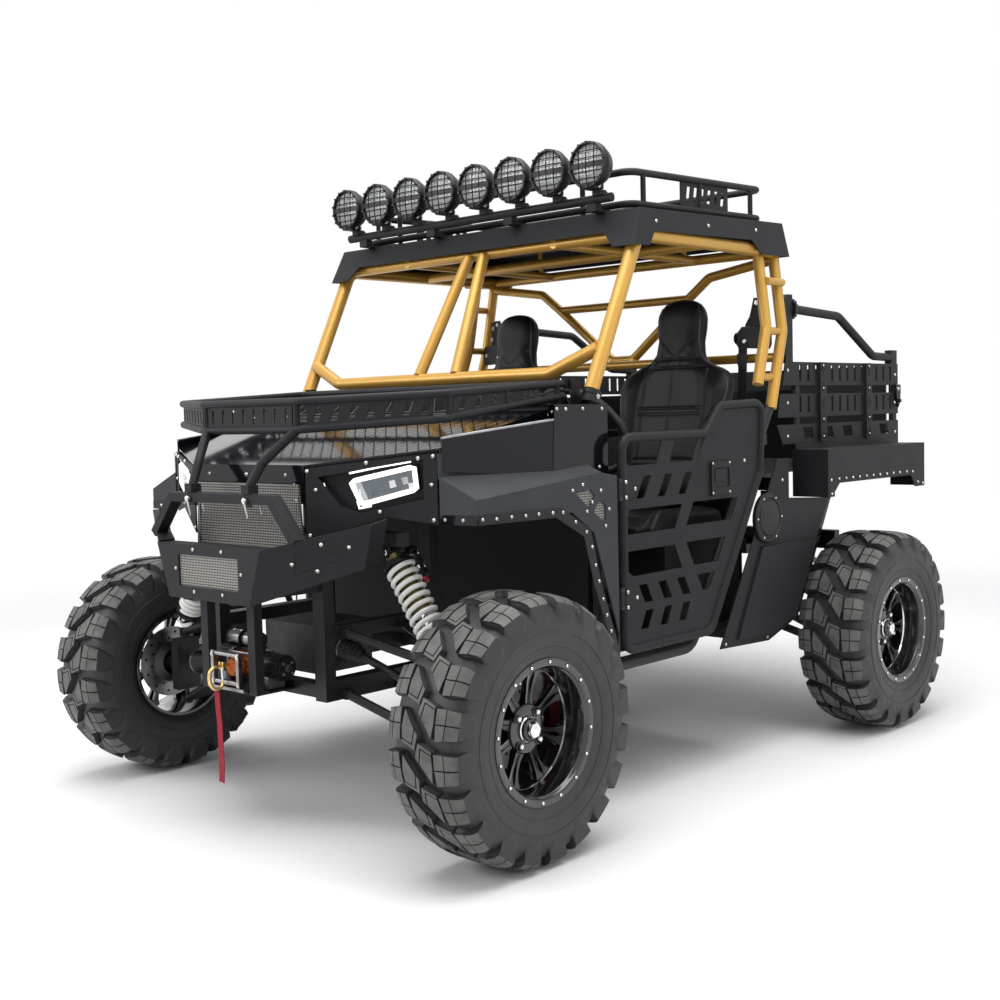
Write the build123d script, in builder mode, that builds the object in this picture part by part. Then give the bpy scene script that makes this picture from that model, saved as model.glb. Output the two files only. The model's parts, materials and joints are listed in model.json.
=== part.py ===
"""Side by side utility vehicle, two seats, tipping bed, roof basket and lamps.

Millimetres. +X is the vehicle's left, -Y its front, +Z up. The origin is on the
ground below the middle of the vehicle's overall box. Most tables give a place as
(across, distance behind the front axle, height).
"""
import os
from math import cos, radians, sin, sqrt, tan

from build123d import *

os.makedirs("parts", exist_ok=True)

# ---------------------------------------------------------------- driving dimensions
FRONT_AXLE_Y = -1138.0
WHEELBASE = 2054.0
TYRE_RADIUS = 376.0
TYRE_HALF_WIDTH = 132.0
FRONT_TRACK_HALF = 860.0
REAR_TRACK_HALF = 879.0
KINGPIN_X = 725.0

FRAME_RAIL_X = (235.0, 285.0)
FRAME_FRONT = -190.0
FRAME_REAR = 2430.0
FRAME_TUBE = 50.0
SHEET = 4.0
PLATE = 5.0
FIT_GAP = 0.3

HOOP_TUBE = 22.0
CAGE_TUBE = 24.0
CAGE_TUBE_SLIM = 20.0
CAGE_REAR = 1640.0
ROOF_TUBE_Z = 1806.0

ROOF_FRONT = 802.0
ROOF_REAR = 1668.0
ROOF_HALF = (724.0, 741.0)
ROOF_SPLAY = (58.0, 18.0)
ROOF_TOP_Z = 1887.0
ROOF_SLOPE = 1.4
ROOF_DEPTH = 122.0
BASKET_X = 650.0
BASKET_FRONT = 850.0
BASKET_REAR = 1640.0
BASKET_RISES = (24.0, 128.0)

LAMP_COUNT = 8
LAMP_RADIUS = 75.0
LAMP_END_X = 591.0
LAMP_FACE = 700.0
LAMP_DEPTH = 84.0
LAMP_Z = 2027.0

HOOD_NOSE = (-238.0, 1104.0)
HOOD_RISE = 0.222
RACK_PIVOT = (540.0, 1328.0)
DOOR_X = 777.0
DOOR_PIVOT = (790.0, 580.0)
DOOR_HINGE_HEIGHTS = (655.0, 994.0)
SEAT_X = 415.0
STEERING_CENTRE = (410.0, 870.0, 1170.0)
STEERING_TILT = 35.0
BED_SPAN = (1790.0, 2630.0)
BED_HALF = 700.0
BED_FLOOR_Z = 1040.0
BED_PIVOT = (2400.0, 985.0)
TAILGATE_PIVOT = (2641.0, 1048.0)
HITCH_PIN_RADIUS = 8.0
TIE_DOWN_RADIUS = 5.5
TIE_DOWN_SPACING = (1100.0, 640.0)


# ------------------------------------------------------------------------- helpers
def at(x, back, z):
    """A point by its offset to the left, its distance behind the front axle, its height."""
    return Vector(x, FRONT_AXLE_Y + back, z)


def across(side, inner, outer):
    """The two offsets of a span on one side of the vehicle, the lower one first."""
    return sorted((side * inner, side * outer))


def tube(points, radius, bend=0.0, close=False, mode=Mode.ADD):
    """A round tube along straight runs whose corners are bent to one radius."""
    with BuildLine() as run:
        if bend:
            FilletPolyline(*points, radius=bend, close=close)
        else:
            Line(*points)
    with BuildSketch(Plane(origin=run.line @ 0, z_dir=run.line % 0)) as section:
        Circle(radius)
    corners = Transition.TRANSFORMED if bend else Transition.RIGHT
    sweep(section.sketch, path=run.line, transition=corners, mode=mode)


def pin(x, back, z, radius, mode=Mode.ADD):
    """A round pin across the vehicle, from its (low, high) span across."""
    with BuildSketch(Plane(origin=at(x[0], back, z), z_dir=(1, 0, 0))) as end:
        Circle(radius)
    extrude(end.sketch, amount=x[1] - x[0], mode=mode)


def post(x, back, z, radius, mode=Mode.ADD):
    """An upright round pin from its (low, high) span of height."""
    with BuildSketch(Plane(origin=at(x, back, z[0]))) as end:
        Circle(radius)
    extrude(end.sketch, amount=z[1] - z[0], mode=mode)


def block(x, back, z, mode=Mode.ADD):
    """A box from its (low, high) pairs: across, behind the front axle, and height."""
    centre = at((x[0] + x[1]) / 2, (back[0] + back[1]) / 2, (z[0] + z[1]) / 2)
    with Locations(centre):
        Box(x[1] - x[0], back[1] - back[0], z[1] - z[0], mode=mode)


def side_plate(outline, x, thickness, mode=Mode.ADD):
    """A plate upright along the vehicle, centred on x, from (back, height) corners."""
    plane = Plane(origin=at(x - thickness / 2, 0, 0), x_dir=(0, 1, 0), z_dir=(1, 0, 0))
    with BuildSketch(plane) as face:
        Polygon(*outline, align=None)
    extrude(face.sketch, amount=thickness, mode=mode)


def cross_plate(outline, back, thickness, mode=Mode.ADD):
    """A plate upright across the vehicle, from (x, height) corners, growing rearward."""
    with BuildSketch(Plane(origin=at(0, back, 0), x_dir=(-1, 0, 0), z_dir=(0, 1, 0))) as face:
        Polygon(*[(-x, z) for x, z in outline], align=None)
    extrude(face.sketch, amount=thickness, mode=mode)


def floor_plate(outline, z, thickness, mode=Mode.ADD):
    """A level plate from (x, back) corners, growing upward."""
    with BuildSketch(Plane(origin=at(0, 0, z))) as face:
        Polygon(*outline, align=None)
    extrude(face.sketch, amount=thickness, mode=mode)


def face_plate(plane, outline, thickness, mode=Mode.ADD, inset=0.0):
    """A plate on its own plane, from corners on it, growing along the plane's normal."""
    with BuildSketch(plane) as face:
        Polygon(*outline, align=None)
        if inset:
            offset(amount=-inset, kind=Kind.INTERSECTION, mode=Mode.REPLACE)
    extrude(face.sketch, amount=thickness, mode=mode)


def folded_plate(corners, thickness, mode=Mode.ADD):
    """A plate on the plane through its first three corners, growing along that plane's normal."""
    along = corners[1] - corners[0]
    plane = Plane(origin=corners[0], x_dir=along, z_dir=along.cross(corners[2] - corners[0]))
    local = [plane.to_local_coords(corner) for corner in corners]
    face_plate(plane, [(corner.X, corner.Y) for corner in local], thickness, mode)


def leaning_slot(front, width, low, high, lean):
    """The corners of a slot whose top lies further back than its bottom by its lean."""
    return [(front, low), (front + width, low), (front + width + lean, high), (front + lean, high)]


def save(part, name):
    """Label one node and write its STEP file."""
    part.label = name
    export_step(part, f"parts/{name}.step")


# ------------------------------------------------------------------ frame and floor
SIDES = (1, -1)
PILLAR_FOOT = (700.0, 566.0, 1300.0)
PILLAR_TOP = (703.0, 812.0, 1806.0)
REAR_HOOP_TOP = (738.0, 1531.0, 1236.0)
SILL_X = 715.0
SILL_Z = 430.0

with BuildPart() as side_frames:
    for side in SIDES:
        tube(
            [at(side * PILLAR_FOOT[0], *PILLAR_FOOT[1:]), at(side * SILL_X, 575, SILL_Z),
             at(side * SILL_X, 1050, SILL_Z), at(side * REAR_HOOP_TOP[0], *REAR_HOOP_TOP[1:])],
            HOOP_TUBE, bend=70,
        )
        # The rack's hinge: a web off the hoop, an upright ear and its pin.
        block(across(side, 654, 700), (548, 566), (1262, 1290))
        block(across(side, 646, 654), (526, 566), (1262, 1342))
        pin(across(side, 622, 646), *RACK_PIVOT, 7)
        for height in DOOR_HINGE_HEIGHTS:
            for low in (-34, 22):
                block(across(side, 720, 798), (571, 589), (height + low, height + low + 12))
            post(side * DOOR_PIVOT[0], DOOR_PIVOT[1], (height - 22, height + 22), 6)
save(side_frames.part, "side_frames")

CROSS_MEMBERS = (FRAME_FRONT, 600.0, 1060.0, 1460.0, 1950.0, FRAME_REAR - FRAME_TUBE)
OUTRIGGERS = (640.0, 1010.0)
with BuildPart() as chassis:
    for side in SIDES:
        block(across(side, *FRAME_RAIL_X), (FRAME_FRONT, FRAME_REAR), (400, 460))
        for back in OUTRIGGERS:
            block(across(side, FRAME_RAIL_X[1], SILL_X), (back, back + 40), (412, 448))
    for back in CROSS_MEMBERS:
        block((-FRAME_RAIL_X[0], FRAME_RAIL_X[0]), (back, back + FRAME_TUBE), (410, 450))
    add(side_frames.part, mode=Mode.SUBTRACT)
save(chassis.part, "chassis")

# Uprights of the front frame, and rails and cross-bars of both upper frames.
BED_RAIL_Z = (900.0, 950.0)
with BuildPart() as upper_frame:
    for side in SIDES:
        rail = across(side, *FRAME_RAIL_X)
        for back in (FRAME_FRONT, 250):
            block(rail, (back, back + 40), (460, 950))
        block(rail, (FRAME_FRONT, 515), (950, 990))
        block(rail, (-150, 250), (580, 620))
        block(rail, (-70, -20), (900, 950))
        block(rail, (1510, FRAME_REAR), BED_RAIL_Z)
        for back in (1510, 2380):
            block(rail, (back, back + FRAME_TUBE), (460, BED_RAIL_Z[0]))
        block(rail, (1512, 1552), (950, 1100))
        block(across(side, FRAME_RAIL_X[0], 720), (1512, 1552), (1100, 1140))
        block(across(side, 275, FRAME_RAIL_X[1]), (2375, 2425), (950, 1005))
        pin(across(side, FRAME_RAIL_X[1], 345), *BED_PIVOT, 8)
    block((-690, 690), (515, 555), (950, 990))
    block((-480, 480), (-70, -20), (860, 900))
    block((-480, 480), (2000, 2050), BED_RAIL_Z)
    block((-285, 285), (2380, FRAME_REAR), BED_RAIL_Z)
    add(side_frames.part, mode=Mode.SUBTRACT)
save(upper_frame.part, "upper_frame")

FLOOR_Z = (460.0, 466.0)
FIREWALL = (562.0, 568.0)
SEAT_BOX = (1020.0, 1480.0)
SEAT_BOX_TOP = 790.0
with BuildPart() as floor_pan:
    block((-688, 688), (560, 1500), FLOOR_Z)
    block((-670, 670), FIREWALL, (FLOOR_Z[1], 1010))
    block((-90, 90), (FIREWALL[1], SEAT_BOX[0]), (FLOOR_Z[1], 640))
    block((-640, 640), SEAT_BOX, (FLOOR_Z[1], SEAT_BOX_TOP))
    block((-636, 636), (SEAT_BOX[0] + SHEET, SEAT_BOX[1] + 1), (FLOOR_Z[1], SEAT_BOX_TOP - SHEET),
          Mode.SUBTRACT)
    block((-640, 640), (1494, 1500), (FLOOR_Z[1], 1100))
    block((-200, 200), (1494, 1500), (1100, 1160))
    for side in SIDES:
        # The toe board slopes from the firewall down to the floor.
        side_plate([(FIREWALL[1], 600), (700, FLOOR_Z[1]), (706, FLOOR_Z[1]), (FIREWALL[1], 606)],
                   side * 380, 570)
save(floor_pan.part, "floor_pan")

with BuildPart() as engine:
    block((-200, 200), (1600, 1940), (470, 840))
save(engine.part, "engine")

# ------------------------------------------------------------------------ roll cage
# Each rear pillar's rungs: (front tube's back, rear tube's back, height).
PILLAR_RUNGS = ((1528, 1636, 1690), (1518, 1625, 1512), (1458, 1560, 1345))
# One path of the rear brace, from the roof's corner down to the middle: (across, height).
REAR_BRACE = ((700, 1776), (421, 1735), (335, 1670), (50, 1440))
with BuildPart() as roll_cage:
    for side in SIDES:
        tube([at(side * PILLAR_FOOT[0], PILLAR_FOOT[1], PILLAR_FOOT[2] + 5),
              at(side * PILLAR_TOP[0], *PILLAR_TOP[1:]),
              at(side * 700, CAGE_REAR, ROOF_TUBE_Z)], CAGE_TUBE, bend=60)
        tube([at(side * 752, 1443, 1318), at(side * 744, 1516, 1525),
              at(side * 700, 1533, ROOF_TUBE_Z)], CAGE_TUBE_SLIM, bend=80)
        tube([at(side * 750, 1532, 1232), at(side * 744, 1625, 1514),
              at(side * 700, CAGE_REAR, 1800)], CAGE_TUBE_SLIM, bend=80)
        for front, rear, z in PILLAR_RUNGS:
            tube([at(side * 740, front, z), at(side * 740, rear, z)], 14)
        tube([at(side * 90, 585, 1377), at(side * 36, 797, 1800)], CAGE_TUBE_SLIM)
        tube([at(side * 360, 797, ROOF_TUBE_Z), at(side * 360, CAGE_REAR - 2, ROOF_TUBE_Z)], 16)
        tube([at(side * 60, 1602, 1420), at(side * 60, 1640, 1440)], 14)
    tube([at(x, CAGE_REAR, z) for x, z in REAR_BRACE]
         + [at(-x, CAGE_REAR, z) for x, z in reversed(REAR_BRACE)], 18, bend=50)
    tube([at(690, 616, 1436), at(518, 582, 1362), at(-518, 582, 1362), at(-690, 616, 1436)],
         22, bend=60)
    for back in (815, 1230, CAGE_REAR):
        tube([at(-698, back, ROOF_TUBE_Z), at(698, back, ROOF_TUBE_Z)], 19)
    tube([at(-332, CAGE_REAR, 1662), at(332, CAGE_REAR, 1662)], 16)
    tube([at(-738, 1600, 1418), at(738, 1600, 1418)], 17)
    for side in SIDES:
        for back in (900, 1560):
            climb = (back - ROOF_FRONT) * sin(radians(ROOF_SLOPE))
            tube([at(side * 360, back, ROOF_TUBE_Z),
                  at(side * 360, back, ROOF_TOP_Z + climb - SHEET - 0.2)], 10)
    add(side_frames.part, mode=Mode.SUBTRACT)
save(roll_cage.part, "roll_cage")

with BuildPart() as belt_reels:
    for side in SIDES:
        block(across(side, 640, 720), (1570, 1609), (1448, 1500))
        block(across(side, 650, 690), (1575, 1600), (1500, 1640))
    add(roll_cage.part, mode=Mode.SUBTRACT)
save(belt_reels.part, "belt_reels")

# --------------------------------------------------------------- roof, basket, lamps
ROOF_PLANE = Plane(
    origin=at(0, ROOF_FRONT, ROOF_TOP_Z), x_dir=(1, 0, 0),
    z_dir=(0, -sin(radians(ROOF_SLOPE)), cos(radians(ROOF_SLOPE))),
)
ROOF_LENGTH = ROOF_REAR - ROOF_FRONT


def roof_at(x, back, rise):
    """A point above the roof's top sheet, which slopes up to the rear."""
    climb = (back - ROOF_FRONT) * sin(radians(ROOF_SLOPE))
    return at(x, back, ROOF_TOP_Z + climb + rise)


with BuildPart() as roof_panel:
    for inset, mode in ((0, Mode.ADD), (SHEET, Mode.SUBTRACT)):
        with BuildSketch(ROOF_PLANE.offset(-inset)) as top:
            with Locations((0, ROOF_LENGTH / 2)):
                Rectangle(2 * (ROOF_HALF[0] - inset), ROOF_LENGTH - 2 * inset)
        with BuildSketch(ROOF_PLANE.offset(-ROOF_DEPTH - inset)) as bottom:
            with Locations((0, (ROOF_LENGTH - ROOF_SPLAY[0] + ROOF_SPLAY[1]) / 2)):
                Rectangle(2 * (ROOF_HALF[1] - inset), ROOF_LENGTH + sum(ROOF_SPLAY) - 2 * inset)
        loft([top.sketch, bottom.sketch], mode=mode)
    cross_plate([(-600, 1815), (600, 1815), (655, 1760), (-655, 1760)], 700, 250, Mode.SUBTRACT)
    side_plate([(866, 1815), (1444, 1830), (1523, 1760), (826, 1760)], 0, 1600, Mode.SUBTRACT)
    cross_plate([(-600, 1835), (600, 1835), (655, 1770), (-655, 1770)], 1600, 150, Mode.SUBTRACT)
save(roof_panel.part, "roof_panel")

BASKET_TUBE = 12.0
# Posts of one side: (across, back).
BASKET_POSTS = ((BASKET_X, 920), (BASKET_X, 1245), (BASKET_X, 1570),
                (450, BASKET_FRONT), (450, BASKET_REAR))
VENT_FRONTS = [1162 + 42 * step for step in range(6)]
with BuildPart() as roof_basket:
    for rise in BASKET_RISES:
        tube([roof_at(-BASKET_X, BASKET_FRONT, rise), roof_at(BASKET_X, BASKET_FRONT, rise),
              roof_at(BASKET_X, BASKET_REAR, rise), roof_at(-BASKET_X, BASKET_REAR, rise)],
             BASKET_TUBE, bend=40, close=True)
    for x, back in BASKET_POSTS:
        for side in SIDES:
            tube([roof_at(side * x, back, 0.4), roof_at(side * x, back, BASKET_RISES[1])], 9)
    for side in SIDES:
        side_plate([(1130, 1925), (1420, 1932), (1420, 2027), (1130, 2020)], side * BASKET_X, SHEET)
        for front in VENT_FRONTS:
            side_plate(leaning_slot(front, 20, 1952, 2000, 8), side * BASKET_X, 6 * SHEET,
                       Mode.SUBTRACT)
save(roof_basket.part, "roof_basket")

LAMP_PITCH = 2 * LAMP_END_X / (LAMP_COUNT - 1)
LAMP_XS = [LAMP_PITCH * step - LAMP_END_X for step in range(LAMP_COUNT)]
LAMP_BAR = (765.0, 1925.0)
with BuildPart() as lamp_bar:
    tube([at(-640, *LAMP_BAR), at(640, *LAMP_BAR)], 15)
    for x in (-560, -190, 190, 560):
        foot = roof_at(x, 805, 0.2)
        block((x - 20, x + 20), (757, 785), (foot.Z, 1915))
        with BuildSketch(ROOF_PLANE.offset(0.3)) as pad:
            with Locations((x, 20)):
                Rectangle(40, 90)
        extrude(pad.sketch, amount=8)
    for x in LAMP_XS:
        block((x - 16, x + 16), (745, 785), (1934, 1948))
save(lamp_bar.part, "lamp_bar")

LENS_RADIUS = 66.0
LENS_RECESS = 10.0
# A lamp's half outline: (radius, distance behind its face).
LAMP_PROFILE = ((0, LENS_RECESS + 4), (LENS_RADIUS, LENS_RECESS + 4), (LENS_RADIUS, 0), (75, 0),
                (75, 26), (68, 32), (62, 62), (30, LAMP_DEPTH), (0, LAMP_DEPTH))
GUARD_STEPS = (-33.0, 0.0, 33.0)
with BuildPart() as roof_lamps:
    for x in LAMP_XS:
        face = Plane(origin=at(x, LAMP_FACE, LAMP_Z), x_dir=(1, 0, 0), z_dir=(0, -1, 0))
        with BuildSketch(Plane(origin=face.origin, x_dir=(1, 0, 0), z_dir=(0, 0, 1))) as half_lamp:
            Polygon(*LAMP_PROFILE, align=None)
        revolve(half_lamp.sketch, axis=Axis(face.origin, face.z_dir))
        with BuildSketch(face.offset(-5)) as guard:
            for step in GUARD_STEPS:
                reach = 2 * sqrt(LENS_RADIUS**2 - step**2) + 4
                with Locations((step, 0)):
                    Rectangle(4, reach)
                with Locations((0, step)):
                    Rectangle(reach, 4)
        extrude(guard.sketch, amount=4)
        block((x - 30, x + 30), (716, 752), (1948.2, 1960))
        block((x - 14, x + 14), (752, 782), (1948.2, 1980))
save(roof_lamps.part, "roof_lamps")

# --------------------------------------------------------------------- front bodywork
def hood_z(back):
    """Height of the hood's sheet, which rises straight from the nose to the cowl."""
    return HOOD_NOSE[1] + (back - HOOD_NOSE[0]) * HOOD_RISE


HOOD_HALF_PLAN = ((274, -238), (646.8, -46), (646.8, 455), (300, 540))
COWL_SIDE = ((366, 1104), (400, 1262), (545, 1262), (545, 990.2), (506, 990.2), (506, 1115))
with BuildPart() as hood:
    floor_plate([*HOOD_HALF_PLAN] + [(-x, back) for x, back in reversed(HOOD_HALF_PLAN)], 900, 500)
    side_plate([(-300, hood_z(-300) - 6), (-300, 800), (600, 800), (600, hood_z(600) - 6)],
               0, 1600, Mode.SUBTRACT)
    side_plate([(-300, hood_z(-300)), (-300, 1500), (600, 1500), (600, hood_z(600))],
               0, 1600, Mode.SUBTRACT)
    cross_plate([(-274, 1050), (274, 1050), (274, 1101), (-274, 1101)], HOOD_NOSE[0], 6)
    for side in SIDES:
        side_plate([(-46, 1100), (-46, hood_z(-46) - 1), (455, hood_z(455) - 1), (455, 1100)],
                   side * 643.9, 5.8)
save(hood.part, "hood")

with BuildPart() as cowl_panels:
    for side in SIDES:
        side_plate(COWL_SIDE, side * 668, PLATE)
save(cowl_panels.part, "cowl_panels")

GRILLE_FACE = -243.0
BUMPER_FACE = -392.0
FLARE_X = 793.5
FLARE_VENTS = (((366, 995), (430, 1006), (455, 984), (424, 949)),
               ((477, 972), (504, 952), (504, 909), (485, 908), (446, 936)))
FLARE_MESH = ((352, 1000), (430, 1014), (512, 966), (512, 898), (478, 898), (424, 936))
with BuildPart() as grille:
    cross_plate([(-250, 1048), (250, 1048), (264, 846), (-264, 846)], GRILLE_FACE, 10)
    cross_plate([(-238, 1036), (238, 1036), (251, 858), (-251, 858)], GRILLE_FACE, 3, Mode.SUBTRACT)
    block((-255, 255), (-233, -190.2), (880, 900))
    # The mesh behind the bumper's window, and behind the vents of the front flares.
    block((-156, 156), (BUMPER_FACE + PLATE, BUMPER_FACE + PLATE + 3), (736, 844))
    for side in SIDES:
        side_plate(FLARE_MESH, side * (FLARE_X - PLATE / 2 - 1.5), 3)
save(grille.part, "grille")

# The lamp plate turns rearward from the nose: these outlines are (along it, height).
LAMP_PLATE_START = (276.0, -238.0)
LAMP_PLATE_END = (662.0, -50.0)
LAMP_PLATE_OUTLINE = ((4, 884), (4, 1095), (410, 1134), (407, 931), (254, 953))
LAMP_PLATE_WINDOW = ((35, 1072), (372, 1122), (372, 1000), (171, 960), (110, 980))
HEADLAMP_OUTLINE = ((134, 1056), (346, 1100), (353, 1030), (169, 984))
LAMP_WELL = 30.0


def lamp_face(side):
    """The plane of one side's lamp plate, its x running outward on the left side."""
    start = at(side * LAMP_PLATE_START[0], LAMP_PLATE_START[1], 0)
    outward = (at(side * LAMP_PLATE_END[0], LAMP_PLATE_END[1], 0) - start) * side
    return Plane(origin=start, x_dir=outward, z_dir=outward.cross(Vector(0, 0, 1)))


with BuildPart() as headlamps:
    for side in SIDES:
        face = lamp_face(side)
        plate, window, body = (
            [(side * u, z) for u, z in outline]
            for outline in (LAMP_PLATE_OUTLINE, LAMP_PLATE_WINDOW, HEADLAMP_OUTLINE)
        )
        face_plate(face, plate, -PLATE)
        face_plate(face.offset(-PLATE), window, -LAMP_WELL)
        face_plate(face, window, SHEET - LAMP_WELL, Mode.SUBTRACT, inset=SHEET)
        face_plate(face.offset(-10), body, 10 - LAMP_WELL)
        face_plate(face.offset(-10), body, -6, Mode.SUBTRACT, inset=9)
save(headlamps.part, "headlamps")

with BuildPart() as lamp_lenses:
    for x in LAMP_XS:
        with BuildSketch(Plane(origin=at(x, LAMP_FACE + LENS_RECESS + 4, LAMP_Z),
                               z_dir=(0, -1, 0))) as lens:
            Circle(LENS_RADIUS - 0.3)
        extrude(lens.sketch, amount=4)
    for side in SIDES:
        outline = [(side * u, z) for u, z in HEADLAMP_OUTLINE]
        face_plate(lamp_face(side).offset(-16), outline, 4, inset=9.3)
save(lamp_lenses.part, "lamp_lenses")

BUMPER_TOP = (262.0, 870.0)
BUMPER_LOW = (205.0, 704.0)
WING_LAP = 4.0
WING_TIP_HIGH = (549.0, -221.0, 944.0)
WING_TIP_LOW = (509.0, -218.0, 815.0)
# The corners of each wing's shallow pocket, a little in front of the wing: (across, back, height).
WING_POCKET = ((349, -334.4, 858), (472, -255, 863), (449, -264.4, 838), (332, -331.8, 797))
WING_POCKET_DEPTH = 3.7
HOOP_FOOT = (352.0, 889.0)
HOOP_TOP = (249.0, 1007.0)
HOOP_BACK = -328.0
# The bracket from the frame to the inside of each wing, seen from above: (across, back).
WING_BRACKET = ((235, -376), (275, -355), (275, FRAME_FRONT), (235, FRAME_FRONT))
with BuildPart() as front_bumper:
    cross_plate([(-BUMPER_TOP[0], BUMPER_TOP[1]), BUMPER_TOP, BUMPER_LOW,
                 (-BUMPER_LOW[0], BUMPER_LOW[1])], BUMPER_FACE, PLATE)
    for side in SIDES:
        # Each wing starts within the face plate's thickness, so that the two are one piece.
        root = [at(side * (BUMPER_TOP[0] - WING_LAP), BUMPER_FACE + 1, BUMPER_TOP[1] - 0.5),
                at(side * (BUMPER_LOW[0] - WING_LAP), BUMPER_FACE + 1, BUMPER_LOW[1] + 0.5)]
        tip = [at(side * x, back, z) for x, back, z in (WING_TIP_LOW, WING_TIP_HIGH)]
        rearward = Vector(side * 4, 48, 10)
        folded_plate([root[0], root[1], *tip][::side], side * PLATE)
        lap = (root[0] - tip[1]).normalized() * WING_LAP
        folded_plate([tip[1] + lap, tip[0] + lap, tip[0] + rearward, tip[1] + rearward][::side],
                     side * PLATE)
        folded_plate([root[0], tip[1], tip[1] + Vector(0, 26, 0), root[0] + Vector(0, 60, 0)][::side],
                     -side * PLATE)
        pocket = [at(side * x, back, z) for x, back, z in WING_POCKET]
        folded_plate([pocket[0], pocket[3], *pocket[2:0:-1]][::side], side * WING_POCKET_DEPTH,
                     Mode.SUBTRACT)
        floor_plate([(side * x, back) for x, back in WING_BRACKET], 730, 30)
        block(across(side, 100, 135), (-330, -300), (430, 704))
        block(across(side, 100, 135), (BUMPER_FACE + 3, -300), (700, 726))
    block((-266, 266), (BUMPER_FACE + PLATE, -330), (862, 869))
    with BuildLine() as hoop_run:
        Polyline(at(HOOP_FOOT[0], HOOP_BACK, HOOP_FOOT[1]), at(HOOP_TOP[0], HOOP_BACK, HOOP_TOP[1]),
                 at(-HOOP_TOP[0], HOOP_BACK, HOOP_TOP[1]), at(-HOOP_FOOT[0], HOOP_BACK, HOOP_FOOT[1]))
    with BuildSketch(Plane(origin=hoop_run.line @ 0, x_dir=(0, 1, 0), z_dir=hoop_run.line % 0)):
        Rectangle(40, 28)
    sweep(path=hoop_run.line, transition=Transition.RIGHT)
    block((-150, 150), (BUMPER_FACE - 5, BUMPER_FACE + 20), (742, 838), Mode.SUBTRACT)
    block((-135, 135), (-330, FRAME_FRONT - 0.2), (424, 430))
save(front_bumper.part, "front_bumper")

# The winch's round bodies: (low across, high across, radius).
WINCH_ROUNDS = ((-62, 62, 30), (-66, -62, 42), (62, 66, 42), (66, 178, 38), (-150, -66, 44))
WINCH_AXLE = (-245.0, 500.0)
with BuildPart() as winch:
    for low, high, radius in WINCH_ROUNDS:
        pin((low, high), *WINCH_AXLE, radius)
    for x in ((-120, -70), (70, 120)):
        block(x, (-275, -215), (430, 470))
    for x in ((-70, -56), (56, 70)):
        block(x, (-345, -331), (440, 545))
    block((-70, 70), (-340, -331), (440, 462))
    block((-70, 70), (-340, -331), (532, 545))
    block((-90, 90), (-345, -300.2), (430, 440))
    block((-60, -44), (-334, -265), (438, 452))
    for x in ((-72, -8), (8, 72)):
        block(x, (-290, -232), (548, 600))
    block((-66, 66), (-262, -240), (535, 549))
save(winch.part, "winch")

STRAP_WIDTH = 25.0
STRAP_THICK = 3.0
HOOK_BACK = -375.0
# The hook's wire in its upright plane: (back, height).
HOOK_WIRE = ((-352, 505), (-375, 505), (-400, 480), (-400, 462), (-375, 436), (-354, 450), (-352, 466))
with BuildPart() as winch_hook:
    tube([at(0, back, z) for back, z in HOOK_WIRE], 6, bend=9)
    block((-12, 12), (-358, -345.2), (494, 516))
save(winch_hook.part, "winch_hook")

# The strap's route, from the hook down: (across, back, height).
STRAP_ROUTE = ((0, -375, 429.8), (0, -375, 395), (4, -372, 335), (-2, -368, 270),
               (-5, -363, 210), (-12, -362, 150))
strap_points = [at(*point) for point in STRAP_ROUTE]
strap_runs = [after - before for before, after in zip(strap_points, strap_points[1:])]
strap_radii = [
    0.45 * min(before.length, after.length) / tan(radians(before.get_angle(after)) / 2)
    for before, after in zip(strap_runs, strap_runs[1:])
]
print("strap radii, mm:", [round(radius) for radius in strap_radii])
with BuildPart() as pull_strap:
    with BuildLine() as strap_run:
        FilletPolyline(*strap_points, radius=strap_radii)
    with BuildSketch(Plane(origin=strap_run.line @ 0, x_dir=(1, 0, 0),
                           z_dir=strap_run.line % 0)) as strap_section:
        Rectangle(STRAP_WIDTH, STRAP_THICK)
    sweep(strap_section.sketch, path=strap_run.line)
save(pull_strap.part, "pull_strap")

# The flare's folded sheet, seen from the front: (across, height).
FLARE_FOLD = ((652, 1130), (652, 1064), (796, 1004), (796, 950), (791, 950), (791, 1001),
              (647, 1060), (647, 1130))
FLARE_SPAN = (-60.0, 500.0)
FLARE_CLIMB = 4.67
FLARE_SIDE = ((-55, 950), (346, 942), (447, 874), (559, 552), (552, 440), (562, 440),
              (562, 1040), (480, 1054), (-55, 1004))
# The raised strip along the wheel arch: (outer edge's back, height, inner edge's back, height).
ARCH_STRIP = ((-55, 962, -55, 934), (292, 960, 270, 932), (427, 884, 397, 866),
              (470, 728, 440, 716), (556, 500, 532, 490))
with BuildPart() as front_flares:
    for side in SIDES:
        with BuildSketch(Plane(origin=at(0, FLARE_SPAN[0], 0), x_dir=(1, 0, 0),
                               z_dir=(0, -1, 0))) as fold:
            Polygon(*[(side * x, z) for x, z in FLARE_FOLD], align=None)
        extrude(fold.sketch, amount=FLARE_SPAN[1] - FLARE_SPAN[0],
                dir=(0, cos(radians(FLARE_CLIMB)), sin(radians(FLARE_CLIMB))))
        side_plate(FLARE_SIDE, side * FLARE_X, PLATE)
        cross_plate([(side * x, z) for x, z in ((652, 950), (652, 1062), (793, 1003), (793, 950))],
                    FLARE_SPAN[0], PLATE)
        for vent in FLARE_VENTS:
            side_plate(vent, side * FLARE_X, 4 * PLATE, Mode.SUBTRACT)
        for (b0, z0, b1, z1), (b2, z2, b3, z3) in zip(ARCH_STRIP, ARCH_STRIP[1:]):
            side_plate([(b0, z0), (b2, z2), (b3, z3), (b1, z1)], side * (FLARE_X + 3.5), 3)
save(front_flares.part, "front_flares")

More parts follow.
